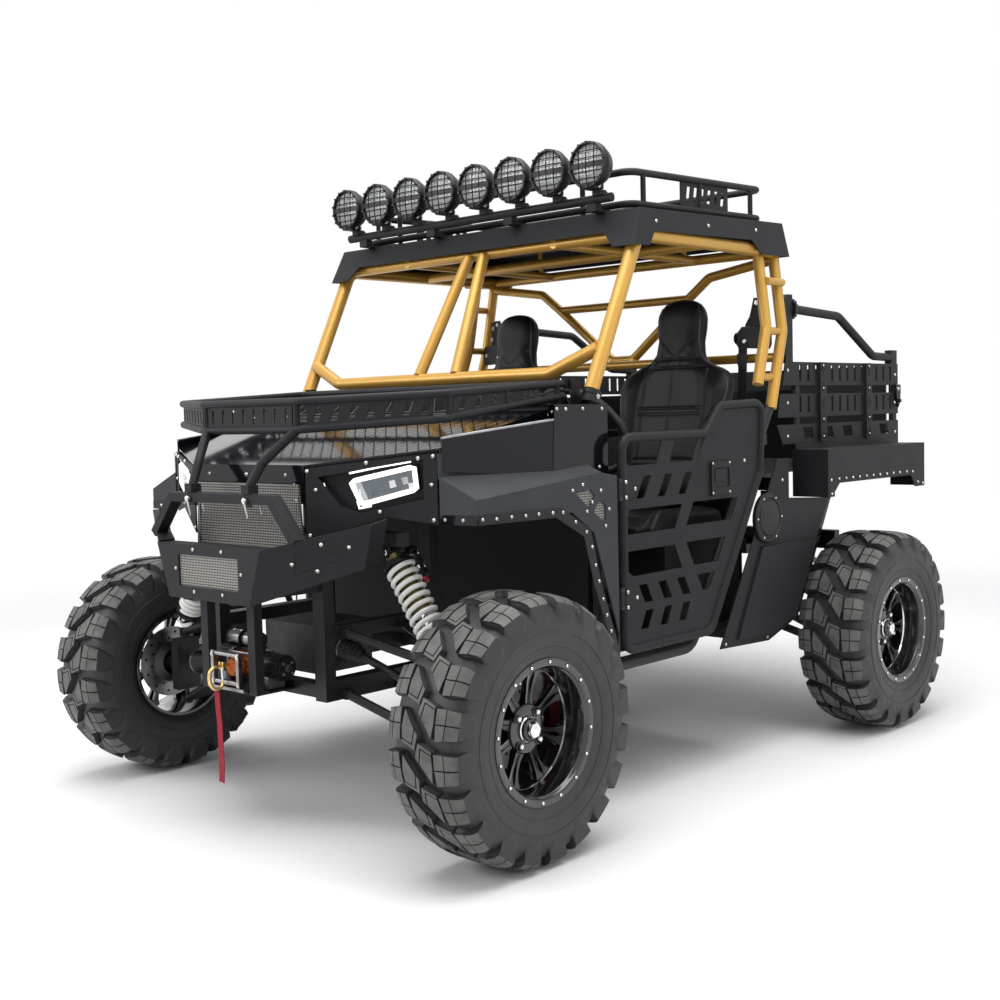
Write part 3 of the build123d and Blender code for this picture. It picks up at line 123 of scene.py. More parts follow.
class Surface:
    """A procedural look, kept under its name, with the node chains that most of them share."""

    def __init__(self, name, colour, roughness, **inputs):
        looks[name] = bpy.data.materials.new(name)
        looks[name].use_nodes = True
        self.tree = looks[name].node_tree
        self.nodes, self.links = self.tree.nodes, self.tree.links
        self.shader = self.nodes["Principled BSDF"]
        self.place = self.nodes.new("ShaderNodeTexCoord").outputs["Object"]
        self.colour = colour
        self.normal = None
        self.set("Base Color", (*colour, 1.0))
        self.set("Roughness", roughness)
        for key, value in inputs.items():
            self.set(key.replace("_", " "), value)

    def set(self, key, value):
        """Set one of the shader's own sockets."""
        self.shader.inputs[key].default_value = value

    def texture(self, kind, place, output, **values):
        """A texture's field, read at the object's coordinates or at others."""
        node = new_node(self.nodes, kind, **values)
        self.links.new(place or self.place, node.inputs["Vector"])
        return node, node.outputs[output]

    def turned(self, factors, rotation):
        """The object's coordinates, stretched by three factors and turned."""
        return self.texture("Mapping", None, "Vector", Scale=factors, Rotation=rotation)[1]

    def noise(self, scale, detail=3.0, rough=0.5):
        """A noise field with this many features a metre."""
        return self.texture("TexNoise", None, "Fac", Scale=scale, Detail=detail, Roughness=rough)[1]

    def cells(self, scale, feature="F1"):
        """A cellular field, as leather grain or cast metal has."""
        node, field = self.texture("TexVoronoi", None, "Distance", Scale=scale)
        node.feature = feature
        return field

    def bands(self, scale, axis, place=None):
        """Parallel waves along one axis."""
        node, field = self.texture("TexWave", place, "Fac", Scale=scale)
        node.bands_direction = axis
        return field

    def ramp(self, field, low, high, dark, light):
        """Colour the surface from dark to light as a field goes from low to high."""
        node = new_node(self.nodes, "ValToRGB")
        for stop, position, colour in zip(node.color_ramp.elements, (low, high), (dark, light)):
            stop.position = position
            stop.color = (*colour, 1.0)
        self.links.new(field, node.inputs["Fac"])
        self.links.new(node.outputs["Color"], self.shader.inputs["Base Color"])

    def vary(self, scale, amount, detail=4.0):
        """Let the colour drift by a share of itself, in patches."""
        dark = [channel * (1 - amount) for channel in self.colour]
        light = [min(1.0, channel * (1 + amount)) for channel in self.colour]
        self.ramp(self.noise(scale, detail), 0.3, 0.7, dark, light)

    def roughen(self, field, low, high):
        """Let the roughness follow a field."""
        node = new_node(self.nodes, "MapRange", To_Min=low, To_Max=high)
        self.links.new(field, node.inputs["Value"])
        self.links.new(node.outputs["Result"], self.shader.inputs["Roughness"])

    def round_edges(self, radius):
        """Catch the light along sharp edges, as rounded ones do."""
        node = new_node(self.nodes, "Bevel", Radius=radius)
        node.samples = 4
        self.normal = node.outputs["Normal"]
        self.links.new(self.normal, self.shader.inputs["Normal"])

    def bump(self, field, depth, strength=1.0):
        """Raise the surface by a field, this deep in metres."""
        node = new_node(self.nodes, "Bump", Strength=strength, Distance=depth)
        self.links.new(field, node.inputs["Height"])
        if self.normal:
            self.links.new(self.normal, node.inputs["Normal"])
        self.normal = node.outputs["Normal"]
        self.links.new(self.normal, self.shader.inputs["Normal"])


def waves(pitch):
    """The wave texture's scale at which its bands repeat every pitch, in metres."""
    pitch_at_scale_one = tau / 20
    return pitch_at_scale_one / pitch


def powder_coat(name, colour, roughness, grain=0.00025, **inputs):
    """Textured powder coat: a fine sandy grain, soft patches and softly lit edges."""
    surface = Surface(name, colour, roughness, **inputs)
    surface.vary(5, 0.12)
    surface.round_edges(0.0015)
    surface.bump(surface.noise(700, 2), grain)
    surface.roughen(surface.noise(9, 4), roughness - 0.05, roughness + 0.07)


def smooth_paint(name, colour, roughness, **inputs):
    """Smooth paint with a little orange peel."""
    surface = Surface(name, colour, roughness, **inputs)
    surface.vary(4, 0.07)
    surface.round_edges(0.001)
    surface.bump(surface.noise(140, 2), 0.00006)
    surface.roughen(surface.noise(12, 5), roughness * 0.8, roughness * 1.25)


def bare_metal(name, colour, roughness, **inputs):
    """Cast, plated or turned metal with fine pits and smears."""
    surface = Surface(name, colour, roughness, Metallic=1.0, **inputs)
    surface.vary(30, 0.15)
    surface.bump(surface.noise(500, 3), 0.00008)
    surface.roughen(surface.noise(60, 5), roughness * 0.7, roughness * 1.4)


def grained_plastic(name, colour, roughness, **inputs):
    """Moulded plastic or rubber with a pebbled grain."""
    surface = Surface(name, colour, roughness, **inputs)
    surface.vary(12, 0.12)
    surface.bump(surface.cells(900), 0.00012)
    surface.roughen(surface.noise(20, 4), roughness - 0.06, roughness + 0.08)


def woven(name, colour, pitch, depth, roughness, **inputs):
    """Crossed threads, of webbing or wire, on any upright surface."""
    surface = Surface(name, colour, roughness, **inputs)
    place = surface.turned((sqrt(2), sqrt(2), 1), (0, 0, pi / 4))
    across, upward = (surface.bands(waves(pitch), axis, place) for axis in "XZ")
    weave = combined(surface.tree, "MULTIPLY", across, upward)
    dark = [channel * 0.12 for channel in colour]
    surface.ramp(weave, 0.02, 0.45, dark, colour)
    surface.bump(weave, depth)


def leather(name, colour, roughness):
    """Black leatherette with creased grain."""
    surface = Surface(name, colour, roughness, Specular_IOR_Level=0.25)
    surface.vary(9, 0.2)
    surface.bump(surface.cells(420, "SMOOTH_F1"), 0.0004)
    surface.bump(surface.noise(28, 4), 0.0012, 0.5)
    surface.roughen(surface.noise(30, 4), roughness - 0.06, roughness + 0.1)


def rubber(name, dark, light, roughness, grain):
    """Tyre rubber, dusty in patches."""
    surface = Surface(name, dark, roughness)
    surface.ramp(surface.noise(14, 6, 0.65), 0.35, 0.75, dark, light)
    surface.bump(surface.noise(260, 5, 0.6), grain)
    surface.roughen(surface.noise(25, 4), roughness - 0.1, roughness + 0.12)


def lens_glass(name, colour, ribs):
    """A ribbed clear lens with its bright reflector behind."""
    surface = Surface(name, colour, 0.12, Metallic=0.35, Coat_Weight=1.0, Coat_Roughness=0.03)
    field = surface.bands(ribs, "X")
    surface.ramp(field, 0.1, 0.9, [channel * 0.55 for channel in colour], colour)
    surface.bump(field, 0.0012)


def glowing(name, colour, strength):
    """A lit lamp surface, even all over apart from a faint ribbing."""
    surface = Surface(name, colour, 0.3)
    surface.bump(surface.bands(160, "X"), 0.0004)
    surface.set("Emission Color", (*colour, 1.0))
    surface.set("Emission Strength", strength)


def clear_glass(name):
    """A thin clear cover with faint ribs."""
    surface = Surface(name, (1.0, 1.0, 1.0), 0.02, Transmission_Weight=1.0, IOR=1.2)
    surface.bump(surface.bands(60, "X"), 0.0003)


# Every look: its name, its colour and roughness, and what else its kind of surface takes.
powder_coat("frame_black", (0.012, 0.0125, 0.014), 0.42, 0.00008, Specular_IOR_Level=0.3)
powder_coat("panel_black", (0.0145, 0.0152, 0.0172), 0.5, 0.0004, Specular_IOR_Level=0.2)
# The flares' paler black is painted light: the brighter light from above and in front that falls on them.
powder_coat("flare_painted_light", (0.042, 0.044, 0.049), 0.6, 0.0006, Specular_IOR_Level=0.2)
smooth_paint("gloss_black", (0.0055, 0.0065, 0.0095), 0.09, Specular_IOR_Level=0.22, Coat_Weight=0.2,
             Coat_Roughness=0.03)
smooth_paint("cage_gold", (0.56, 0.31, 0.05), 0.36, Metallic=0.35, Coat_Weight=0.25, Coat_Roughness=0.25)
bare_metal("cast_alloy", (0.09, 0.09, 0.095), 0.5)
grained_plastic("lamp_plastic", (0.0075, 0.0075, 0.0085), 0.4, Specular_IOR_Level=0.3)
woven("mesh_steel", (0.42, 0.40, 0.375), 0.008, 0.0018, 0.5, Metallic=0.5)
bare_metal("winch_metal", (0.45, 0.45, 0.46), 0.35)
bare_metal("hook_gold", (0.72, 0.52, 0.22), 0.3)
woven("strap_red", (0.66, 0.012, 0.05), 0.0034, 0.0006, 0.8)
grained_plastic("dash_plastic", (0.014, 0.0145, 0.016), 0.5)
leather("seat_leather", (0.006, 0.0066, 0.0084), 0.42)
smooth_paint("seat_piping", (0.022, 0.0225, 0.025), 0.22)
smooth_paint("spring_white", (0.78, 0.77, 0.745), 0.35, Coat_Weight=0.4, Coat_Roughness=0.2)
smooth_paint("rim_black", (0.007, 0.007, 0.008), 0.16, Coat_Weight=0.7, Coat_Roughness=0.06)
rubber("tyre_rubber", (0.018, 0.0185, 0.02), (0.03, 0.0305, 0.032), 0.5, 0.0003)
# The tread blocks' tops are paler than the sidewall: partly dust, partly a painted sheen where light catches
# the ridges.
rubber("tread_dust_and_painted_sheen", (0.06, 0.058, 0.055), (0.15, 0.145, 0.135), 0.55, 0.0011)
lens_glass("lamp_lens", (0.75, 0.77, 0.78), 130)
smooth_paint("caliper_red", (0.5, 0.012, 0.015), 0.3, Coat_Weight=0.5)
bare_metal("bolt_steel", (0.62, 0.62, 0.61), 0.28)
bare_metal("chrome", (0.86, 0.87, 0.88), 0.06)
woven("rope_orange", (1.0, 0.22, 0.02), 0.005, 0.0008, 0.7)
bare_metal("damper_gold", (0.20, 0.16, 0.07), 0.35)
glowing("led_white", (1.0, 1.0, 1.0), 1.15)
smooth_paint("lamp_glass", (0.10, 0.125, 0.145), 0.05, Coat_Weight=1.0)
bare_metal("reflector", (0.50, 0.54, 0.56), 0.12)
grained_plastic("boot_rubber", (0.012, 0.012, 0.012), 0.5)
woven("webbing", (0.016, 0.016, 0.017), 0.003, 0.0005, 0.7)
clear_glass("clear_glass")
# Pale turned metal; on the hood's side lip it is a painted highlight.
bare_metal("machined_and_edge_highlight", (0.30, 0.30, 0.31), 0.3)
bare_metal("disc_steel", (0.45, 0.44, 0.43), 0.32)
# Flat black for painted shade in holes and slots, and for the dials' own dark faces.
grained_plastic("hole_shade_and_dial_black", (0.004, 0.004, 0.004), 0.8)

# The record gives each solid its look; only the flares get a paler black than their slot, painted light for
# the light that falls on them from above and in front.
finishes = {entry["node"]: entry["material_slot"] for entry in frame["record"]["subparts"]}
finishes["front_flares"] = "flare_painted_light"
for node_name, node_object in frame["nodes"].items():
    for material_slot in node_object.material_slots:
        material_slot.material = looks[finishes[node_name]]


# ------------------------------------------------------------------- building meshes
def stood(name, data, location=(0, 0, 0)):
    """A new object in the scene."""
    thing = bpy.data.objects.new(name, data)
    thing.location = location
    bpy.context.scene.collection.objects.link(thing)
    return thing


def frame_about(direction):
    """Two unit vectors square to a direction and to each other."""
    direction = direction.normalized()
    helper = UPWARD if abs(direction.z) < 0.9 else ACROSS
    first = direction.cross(helper).normalized()
    return first, direction.cross(first).normalized()


class Shape:
    """Points and faces gathered piece by piece, then made into one mesh object."""

    def __init__(self):
        self.points = []
        self.faces = []
        self.slots = []

    def add(self, points, faces, slot=0):
        """Add faces given by their places in a list of points."""
        first = len(self.points)
        self.points.extend(points)
        self.faces.extend([first + corner for corner in face] for face in faces)
        self.slots.extend([slot] * len(faces))

    def rings(self, rings, closed_ring=True, closed_path=False, caps=True, slot=0):
        """Skin a run of rings that all have the same number of points."""
        count = len(rings[0])
        faces = []
        pairs = list(zip(range(len(rings)), range(1, len(rings))))
        if closed_path:
            pairs.append((len(rings) - 1, 0))
        for low, high in pairs:
            for step in range(count if closed_ring else count - 1):
                after = (step + 1) % count
                faces.append([low * count + step, low * count + after,
                              high * count + after, high * count + step])
        if caps and not closed_path:
            faces.append(list(range(count))[::-1])
            faces.append([(len(rings) - 1) * count + step for step in range(count)])
        self.add([point for ring in rings for point in ring], faces, slot)

    def lathe(self, profile, centre, axis, steps=32, slot=0, caps=False):
        """Turn a profile of (radius, distance along) about an axis."""
        axis = axis.normalized()
        first, second = frame_about(axis)
        rings = [circle(centre + axis * along, first, second, radius, steps) for radius, along in profile]
        self.rings(rings, caps=caps, slot=slot)

    def rod(self, start, end, radius, steps=12, slot=0, far_radius=None):
        """A straight round rod with flat ends."""
        length = (end - start).length
        last = radius if far_radius is None else far_radius
        self.lathe([(radius, 0), (last, length)], start, end - start, steps, slot, caps=True)

    def tube(self, path, radius, steps=8, slot=0, closed=False, taper=None):
        """A round tube along a path of points, turned as little as it can be."""
        count = len(path)
        rings = []
        normal = None
        for place in range(count):
            before = path[place - 1] if place or closed else path[0]
            after = path[(place + 1) % count] if place < count - 1 or closed else path[-1]
            along = (after - before).normalized()
            if normal is None:
                normal = frame_about(along)[0]
            normal = (normal - along * normal.dot(along)).normalized()
            other = along.cross(normal)
            size = radius * (taper[place] if taper else 1)
            rings.append(circle(path[place], normal, other, size, steps))
        self.rings(rings, closed_path=closed, slot=slot)

    def slab(self, outline, offset, slot=0, bevel=0.0):
        """A flat plate from its corners, moved by an offset to its far face."""
        count = len(outline)
        if bevel:
            middle = sum(outline, Vector()) / count
            inner = [point + (middle - point).normalized() * bevel for point in outline]
            lift = offset.normalized() * bevel
            self.rings([inner, [point + lift for point in outline],
                        [point + offset - lift for point in outline],
                        [point + offset for point in inner]], slot=slot)
            return
        self.rings([outline, [point + offset for point in outline]], slot=slot)

    def brick(self, low, high, slot=0, bevel=0.0):
        """A box between two corners."""
        floor = [Vector((low.x, low.y, low.z)), Vector((high.x, low.y, low.z)),
                 Vector((high.x, high.y, low.z)), Vector((low.x, high.y, low.z))]
        self.slab(floor, UPWARD * (high.z - low.z), slot, bevel)

    def button(self, place, outward, radius=0.0065, slot=0):
        """A button-head bolt with its hexagon socket, seated on a surface."""
        outward = outward.normalized()
        self.lathe([(radius, -0.0005), (radius, radius * 0.25), (radius * 0.82, radius * 0.6),
                    (radius * 0.5, radius * 0.78)], place, outward, 14, slot)
        self.lathe([(radius * 0.5, radius * 0.78), (radius * 0.46, radius * 0.3),
                    (radius * 0.01, radius * 0.3)], place, outward, 6, slot)

    def hexagon(self, place, outward, radius, height, slot=0):
        """A hexagon bolt head on its washer."""
        outward = outward.normalized()
        self.lathe([(radius * 1.35, 0), (radius * 1.35, height * 0.15), (radius, height * 0.16)],
                   place, outward, 18, slot, caps=True)
        self.lathe([(radius, height * 0.1), (radius, height * 0.88), (radius * 0.86, height)],
                   place, outward, 6, slot, caps=True)

    def moved(self, matrix):
        """The same shape, moved."""
        other = Shape()
        other.points = [matrix @ point for point in self.points]
        other.faces = self.faces
        other.slots = self.slots
        return other

    def piece(self, name, materials, body="root", slot=None, replaces=(), sharp=35, origin=None):
        """Make the gathered faces into an object that rides on a body; edges past sharp degrees stay."""
        mesh = bpy.data.meshes.new(name)
        origin = origin or Vector()
        mesh.from_pydata([point - origin for point in self.points], [], self.faces)
        for material in materials:
            mesh.materials.append(looks[material])
        mesh.polygons.foreach_set("material_index", self.slots)
        builder = bmesh.new()
        builder.from_mesh(mesh)
        bmesh.ops.recalc_face_normals(builder, faces=builder.faces)
        builder.to_mesh(mesh)
        builder.free()
        mesh.shade_smooth()
        mesh.set_sharp_from_angle(angle=radians(sharp))
        piece = stood(name, mesh, origin)
        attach(piece, body)
        slot or materials[0]
        for node in replaces:
            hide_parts(node)
        return piece


# ------------------------------------------------------------------- tyres and wheels
# Each wheel, on the body of its name: side, half track and place behind the front axle.
WHEELS = (
    ("front_left", 1, 860, 0), ("front_right", -1, 860, 0),
    ("rear_left", 1, 879, 2054), ("rear_right", -1, 879, 2054),
)
TYRE_RADIUS = 0.376
PITCHES = 20
# Run of the tread's top and of the groove's floor, by distance from the tyre's middle out
# over the shoulder and down the sidewall: (distance, out along the axle, radius), in mm.
TREAD_TOP = ((0, 0, 375.6), (70, 70, 374.2), (100, 100, 369.5), (118, 117, 363), (130, 125.5, 354),
             (145, 130.5, 341), (165, 131.6, 322), (185, 131.2, 303), (200, 130.6, 289))
GROOVE_FLOOR = ((0, 0, 354), (70, 70, 352), (100, 98, 347), (118, 112, 339), (130, 119, 331),
                (145, 124.5, 319), (165, 128.6, 303), (185, 130.6, 291), (200, 130.5, 288.5))
# The sidewall below the grooves: (radius, out along the axle), in mm.
SIDEWALL = ((283, 130.6), (265, 130.4), (250, 128.8), (238, 126), (228, 122.6), (220, 121.6),
            (216, 120.2), (210, 117.5), (203, 114.5), (196, 110), (186, 106))
# Blocks of one pitch of the outer half: (round the tyre, distance out), in mm.
SHOULDER_BASE = ((-41, 61), (-40, 134), (37, 131), (43, 90), (44, 65), (2, 63))
SHOULDER_ROWS = (
    ((-41, 61), (-42, 92), (-2, 94), (0, 63)), ((-42, 94), (-40, 134), (-2, 134), (-2, 96)),
    ((2, 63), (1, 94), (40, 91), (44, 66)), ((1, 96), (1, 134), (36, 131), (39, 93)),
)
CENTRE_BASE = ((40, 52), (-22, -3), (-62, 5), (-47, 54), (-4, 58))
CENTRE_PARTS = (
    ((39, 52), (-9, 11), (-47, 17), (-35, 54), (-4, 57)),
    ((-10, 8), (-22, -3), (-62, 5), (-46, 54), (-37, 54), (-50, 14)),
)
FLANK = ((36, 133), (-40, 133), (-45, 150), (-40, 167), (-26, 183), (-2, 197), (8, 184), (20, 166),
         (31, 148))
SIPE_DEPTH = 0.0075
WALL_LEAN = 2.5
# A block's rounded top edge: (depth below the top in metres, inset in mm).
BLOCK_EDGE = ((0.0012, 0), (0.0002, 0.5), (0, 1.6))
TYRE_STEPS = 160
# Thin ridges that mark the bead: (radius, out along the axle), in metres.
BEAD_RIDGES = ((0.2335, 0.1248), (0.275, 0.1310))
HAIRS = 170


def run_point(table, distance):
    """Out along the axle and radius at a distance over the tread, in metres."""
    reach = abs(distance)
    for (low, x_low, r_low), (high, x_high, r_high) in zip(table, table[1:]):
        if reach <= high:
            share = (reach - low) / (high - low)
            out = x_low + (x_high - x_low) * share
            return (out if distance >= 0 else -out) / 1000, (r_low + (r_high - r_low) * share) / 1000
    raise ValueError(distance)


def tread_point(angle, round_by, distance, depth):
    """A point on the tread, its depth below the top as a share of the groove or in metres."""
    out, radius = run_point(TREAD_TOP, distance)
    floor_out, floor_radius = run_point(GROOVE_FLOOR, distance)
    share = depth if depth in (0, 1) else min(1, depth / max(1e-4, radius - floor_radius))
    turn = angle + round_by / 1000 / TYRE_RADIUS
    out += (floor_out - out) * share
    radius += (floor_radius - radius) * share
    return Vector((out, radius * cos(turn), radius * sin(turn)))


def shrunk(outline, by):
    """A block's outline with each side moved in."""
    count = len(outline)
    area = sum(outline[i][0] * outline[(i + 1) % count][1] - outline[(i + 1) % count][0] * outline[i][1]
               for i in range(count))
    turn = 1 if area > 0 else -1
    moved = []
    for i in range(count):
        before, here, after = (Vector(outline[(i + step) % count]) for step in (-1, 0, 1))
        into = (here - before).normalized()
        away = (after - here).normalized()
        normal_in = Vector((-into.y, into.x)) * turn
        normal_away = Vector((-away.y, away.x)) * turn
        bisector = (normal_in + normal_away).normalized()
        moved.append(tuple(here + bisector * by / max(0.4, bisector.dot(normal_in))))
    return moved


def divided(outline, longest=16):
    """An outline with its long sides divided, so that it follows the tyre's curve."""
    points = []
    for (s_here, w_here), (s_next, w_next) in zip(outline, outline[1:] + outline[:1]):
        steps = max(1, int(max(abs(s_next - s_here), abs(w_next - w_here)) / longest + 0.999))
        points += [(s_here + (s_next - s_here) * step / steps, w_here + (w_next - w_here) * step / steps)
                   for step in range(steps)]
    return points


def block(shape, angle, outline, bottom, top, grow, top_slot):
    """One tread block, its walls leaning out to the bottom and its top edge rounded."""
    outline = divided(list(outline))
    rings = []
    for depth, inset in ((bottom, -grow), *((top + down, inset) for down, inset in BLOCK_EDGE)):
        rings.append([tread_point(angle, s, w, depth) for s, w in shrunk(outline, inset)])
    shape.rings(rings[:-1], caps=False)
    count = len(outline)
    shape.rings(rings[-2:], caps=False, slot=top_slot)
    shape.add(rings[-1], [list(range(count))], slot=top_slot)


def half_tread(shape, mirror):
    """One half's blocks; the other half is this one turned round, a little further on."""
    for angle in angles(PITCHES, 0.12 if mirror < 0 else 0):

        def put(outline, bottom, top, grow, top_slot):
            block(shape, angle, [(s * mirror, w * mirror) for s, w in outline], bottom, top, grow,
                  top_slot)

        put(SHOULDER_BASE, 1, SIPE_DEPTH, WALL_LEAN, 0)
        put(CENTRE_BASE, 1, SIPE_DEPTH, WALL_LEAN, 0)
        # The split tops take the paler tread rubber: partly dust, partly painted sheen.
        for part in SHOULDER_ROWS + CENTRE_PARTS:
            put(part, SIPE_DEPTH + 0.001, 0, 0, 1)
        put(FLANK, 1, 0, 2.0, 0)


def make_tyre():
    """A mud tyre about its own centre, the street side outward along X."""
    shape = Shape()
    floor = [run_point(GROOVE_FLOOR, distance) for distance in range(0, 201, 10)]
    half = [(radius, out) for out, radius in floor] + metres(SIDEWALL)
    inner_half = [(radius, -out) for radius, out in half]
    shape.lathe(inner_half[::-1][:-1] + half, Vector(), ACROSS, TYRE_STEPS)
    half_tread(shape, 1)
    half_tread(shape, -1)
    for side in SIDES:
        for radius, out in BEAD_RIDGES:
            ridge = [ACROSS * side * out + around_x(turn) * radius for turn in angles(120)]
            shape.tube(ridge, 0.0011, 5, closed=True)
    # Moulding hairs on the shoulders.
    random.seed(5)
    for _ in range(HAIRS):
        turn = random.uniform(0, tau)
        distance = random.choice((-1, 1)) * random.uniform(60, 150)
        out, radius = run_point(TREAD_TOP, distance)
        if radius * sin(turn) < -0.2 or radius > 0.3695:
            continue
        start = ACROSS * out + around_x(turn) * radius
        lean = ACROSS * random.uniform(-0.2, 0.4) * (1 if out > 0 else -1) + around_x(turn)
        shape.rod(start, start + lean.normalized() * random.uniform(0.003, 0.0058), 0.0005, 3,
                  far_radius=0.0002)
    return shape


RING_BOLTS = 16
SPOKES = 8
# The rim from its inner edge out to the ring's face and back: (radius, out along the axle), in mm.
BARREL = ((186, -120), (189, -119), (189, -113), (178, -106), (176.5, -60), (170, -30), (169, 30),
          (176, 60), (177.5, 98), (202.5, 99.8), (203, 102), (203, 114), (201.5, 116.5),
          (184, 116.9), (181, 115.5), (178.8, 111), (174.5, 108), (172.5, 104), (169.5, 60),
          (166, 46), (163.5, 38), (163.5, 10), (164.5, -30), (172, -62), (173.5, -100), (178, -119))
# The rim's turned parts: (profile as above, steps round, material slot).
RIM_PARTS = (
    (BARREL + BARREL[:1], 96, 0),
    # A turned bright edge where the dish begins.
    (((163.8, 40.5), (165.5, 44.8), (166.8, 45.2), (165.2, 40.5)), 96, 1),
    # The hub's boss, and its cap's ring, dome and faceted crown.
    (((46, -60), (46, 12), (70, 14), (70, 40), (66, 46), (47, 49), (40, 49), (39, 44), (1, 44)), 48, 0),
    (((35.5, 45), (36.5, 50), (36.5, 54), (34.5, 56.2), (33, 55.5)), 40, 1),
    (((33, 55.5), (32.5, 62), (29, 66.5), (24.5, 68)), 40, 0),
    (((24.5, 66), (24.5, 74), (21.5, 78.5), (10, 81.5), (0.2, 82)), 6, 1),
)
RING_WASHER = ((8.5, 0), (8.2, 0.8), (6.5, 1))
NUT_POCKET = ((14.5, -20), (14.5, 8), (12.5, 8.5), (12.2, 3))
NUT = ((9.8, 0), (9.8, 12), (8.5, 16), (4.5, 19), (0.2, 20))
# Half of one spoke's face from the hub out: (radius, half width), in mm.
SPOKE_FACE = ((52, 21), (66, 15.5), (92, 12.5), (120, 14), (146, 19), (160, 27), (166, 33))
# Where a spoke is split along its middle, from radius to radius, and half the gap, in mm.
SPLIT_FROM, SPLIT_TO, SPLIT_HALF = 96, 158, 4.2
DISC = ((70, -44.5), (124.5, -44.5), (125, -44), (125, -40), (124.5, -39.5), (70, -39.5), (70, -44.5))
CARRIER = ((45.5, -60), (72, -46), (72, -38), (45.5, -34))
# The disc's rows of twelve holes, drawn as painted shade: (radius in metres, share of a step to the first
# hole).
DISC_HOLES = ((0.084, 0), (0.106, 0.5))


def spoke_crest(radius):
    """How far out a spoke's face lies, in mm: it sinks from the hub and rises again to the barrel."""
    return 44 - 12 * sin(pi * min(1, (radius - 52) / 70) / 2) + max(0, radius - 132) * 0.2


def add_spoke(shape, outward):
    """One spoke in two halves, each with a machined edge along its face."""
    aside = ACROSS.cross(outward)

    def ring(radius, hand, corners):
        """Points at one radius, their corners given as (across the spoke, out along the axle)."""
        return [(outward * radius + aside * hand * across + ACROSS * out) / 1000 for across, out in corners]

    for hand in SIDES:
        halves, edges = [], []
        for radius, half in SPOKE_FACE:
            crest = spoke_crest(radius)
            inner = SPLIT_HALF if SPLIT_FROM <= radius <= SPLIT_TO else 0
            halves.append(ring(radius, hand, ((inner, 16), (half + 2, 14), (half, crest - 3),
                                              (half - 2.2, crest), (inner + 1.5, crest - 1),
                                              (inner, crest - 4))))
            edges.append(ring(radius, hand, ((half + 0.3, crest - 3), (half - 2.1, crest + 0.3))))
        shape.rings(halves)
        shape.rings(edges[1:-1], closed_ring=False, caps=False, slot=2)


def make_rim():
    """A deep black rim with eight split spokes and a bolted ring, about its own centre."""
    shape = Shape()
    for profile, steps, slot in RIM_PARTS:
        shape.lathe(metres(profile), Vector(), ACROSS, steps, slot)
    for turn in angles(RING_BOLTS, 0.5):
        place = ACROSS * 0.1168 + around_x(turn) * 0.1913
        shape.button(place, ACROSS, 0.0052, slot=1)
        shape.lathe(metres(RING_WASHER), place, ACROSS, 14)
    for turn in angles(SPOKES, 0.5):
        add_spoke(shape, around_x(turn))
    for turn in angles(4, 0.5):
        place = ACROSS * 0.044 + around_x(turn) * 0.055
        shape.lathe(metres(NUT_POCKET), place, ACROSS, 20)
        shape.lathe(metres(NUT), place, ACROSS, 6, slot=1)
    valve = ACROSS * 0.052 + around_x(radians(112)) * 0.1545
    shape.rod(valve, valve + Vector((0.034, 0.004, 0.004)), 0.0042, 10, slot=1)
    return shape


def make_disc():
    """The brake disc behind the spokes, with its carrier; its drilled holes are painted shade, dark discs on
    both faces.
    """
    shape = Shape()
    shape.lathe(metres(DISC), Vector(), ACROSS, 72)
    shape.lathe(metres(CARRIER), Vector(), ACROSS, 36, slot=1)
    for radius, start in DISC_HOLES:
        for turn in angles(12, start):
            for out, sign in ((-0.0446, -1), (-0.0394, 1)):
                place = ACROSS * out + around_x(turn) * radius
                shape.lathe([(0.005, 0.00015), (0.0001, 0.0002)], place, ACROSS * sign, 12, slot=2)
    return shape


def place_wheels():
    """Set the same tyre, rim and disc on all four hubs."""
    parts = (
        ("tyre", make_tyre(), ("tyre_rubber", "tread_dust_and_painted_sheen"), "tyre_rubber", True),
        ("rim", make_rim(), ("rim_black", "chrome", "machined_and_edge_highlight"), "rim_black", True),
        ("disc", make_disc(), ("disc_steel", "cast_alloy", "hole_shade_and_dial_black"), "rim_black", False),
    )
    for name, side, track, back in WHEELS:
        centre = at(side * track, back, 376)
        spin = Matrix.Rotation(radians(17 if back else 5), 4, "X")
        place = Matrix.Translation(centre) @ Matrix.Diagonal((side, 1, 1, 1)) @ spin
        for part, shape, materials, slot, stands_in in parts:
            replaced = (f"{part}_{name}",) if stands_in else ()
            shape.moved(place).piece(f"{part}_look_{name}", materials, f"wheel_{name}", slot, replaced,
                                     sharp=38, origin=centre)


place_wheels()


# --------------------------------------------------------------------------- shocks
# Each axle's shocks: node, place behind the front axle, top's and foot's (across, height).
SHOCKS = (("front_shocks", -45, (430, 846), (640, 548)), ("rear_shocks", 2025, (430, 886), (640, 552)))
CLOSE_TURNS, OPEN_TURNS = 3, 8
# The spring's wire and coil radius, the rise of a close turn, and the shares of the shock it spans.
WIRE, COIL = 0.0076, 0.0405
CLOSE_RISE = 2.15 * WIRE
SPRING_FROM, SPRING_TO = 0.14, 0.84
COIL_STEPS = 22
PERCH = ((18, 130), (46, 140), (46, 152), (30, 156), (12, 156))
# The gold body and its threaded collar: (radius in metres, share of the shock's length).
DAMPER = ((0.012, 0.42), (0.0285, 0.425), (0.0285, 0.84), (0.026, 0.89), (0.026, 0.95), (0.012, 0.965))
COLLAR = ((0.03, 0.845), (0.047, 0.848), (0.047, 0.866), (0.0335, 0.87), (0.0335, 0.905), (0.028, 0.91))
KNOB = ((12, 0), (12, -12), (9, -16))
RESERVOIR_BAND = ((21.8, -6), (23.2, -5), (23.2, 5), (21.8, 6))


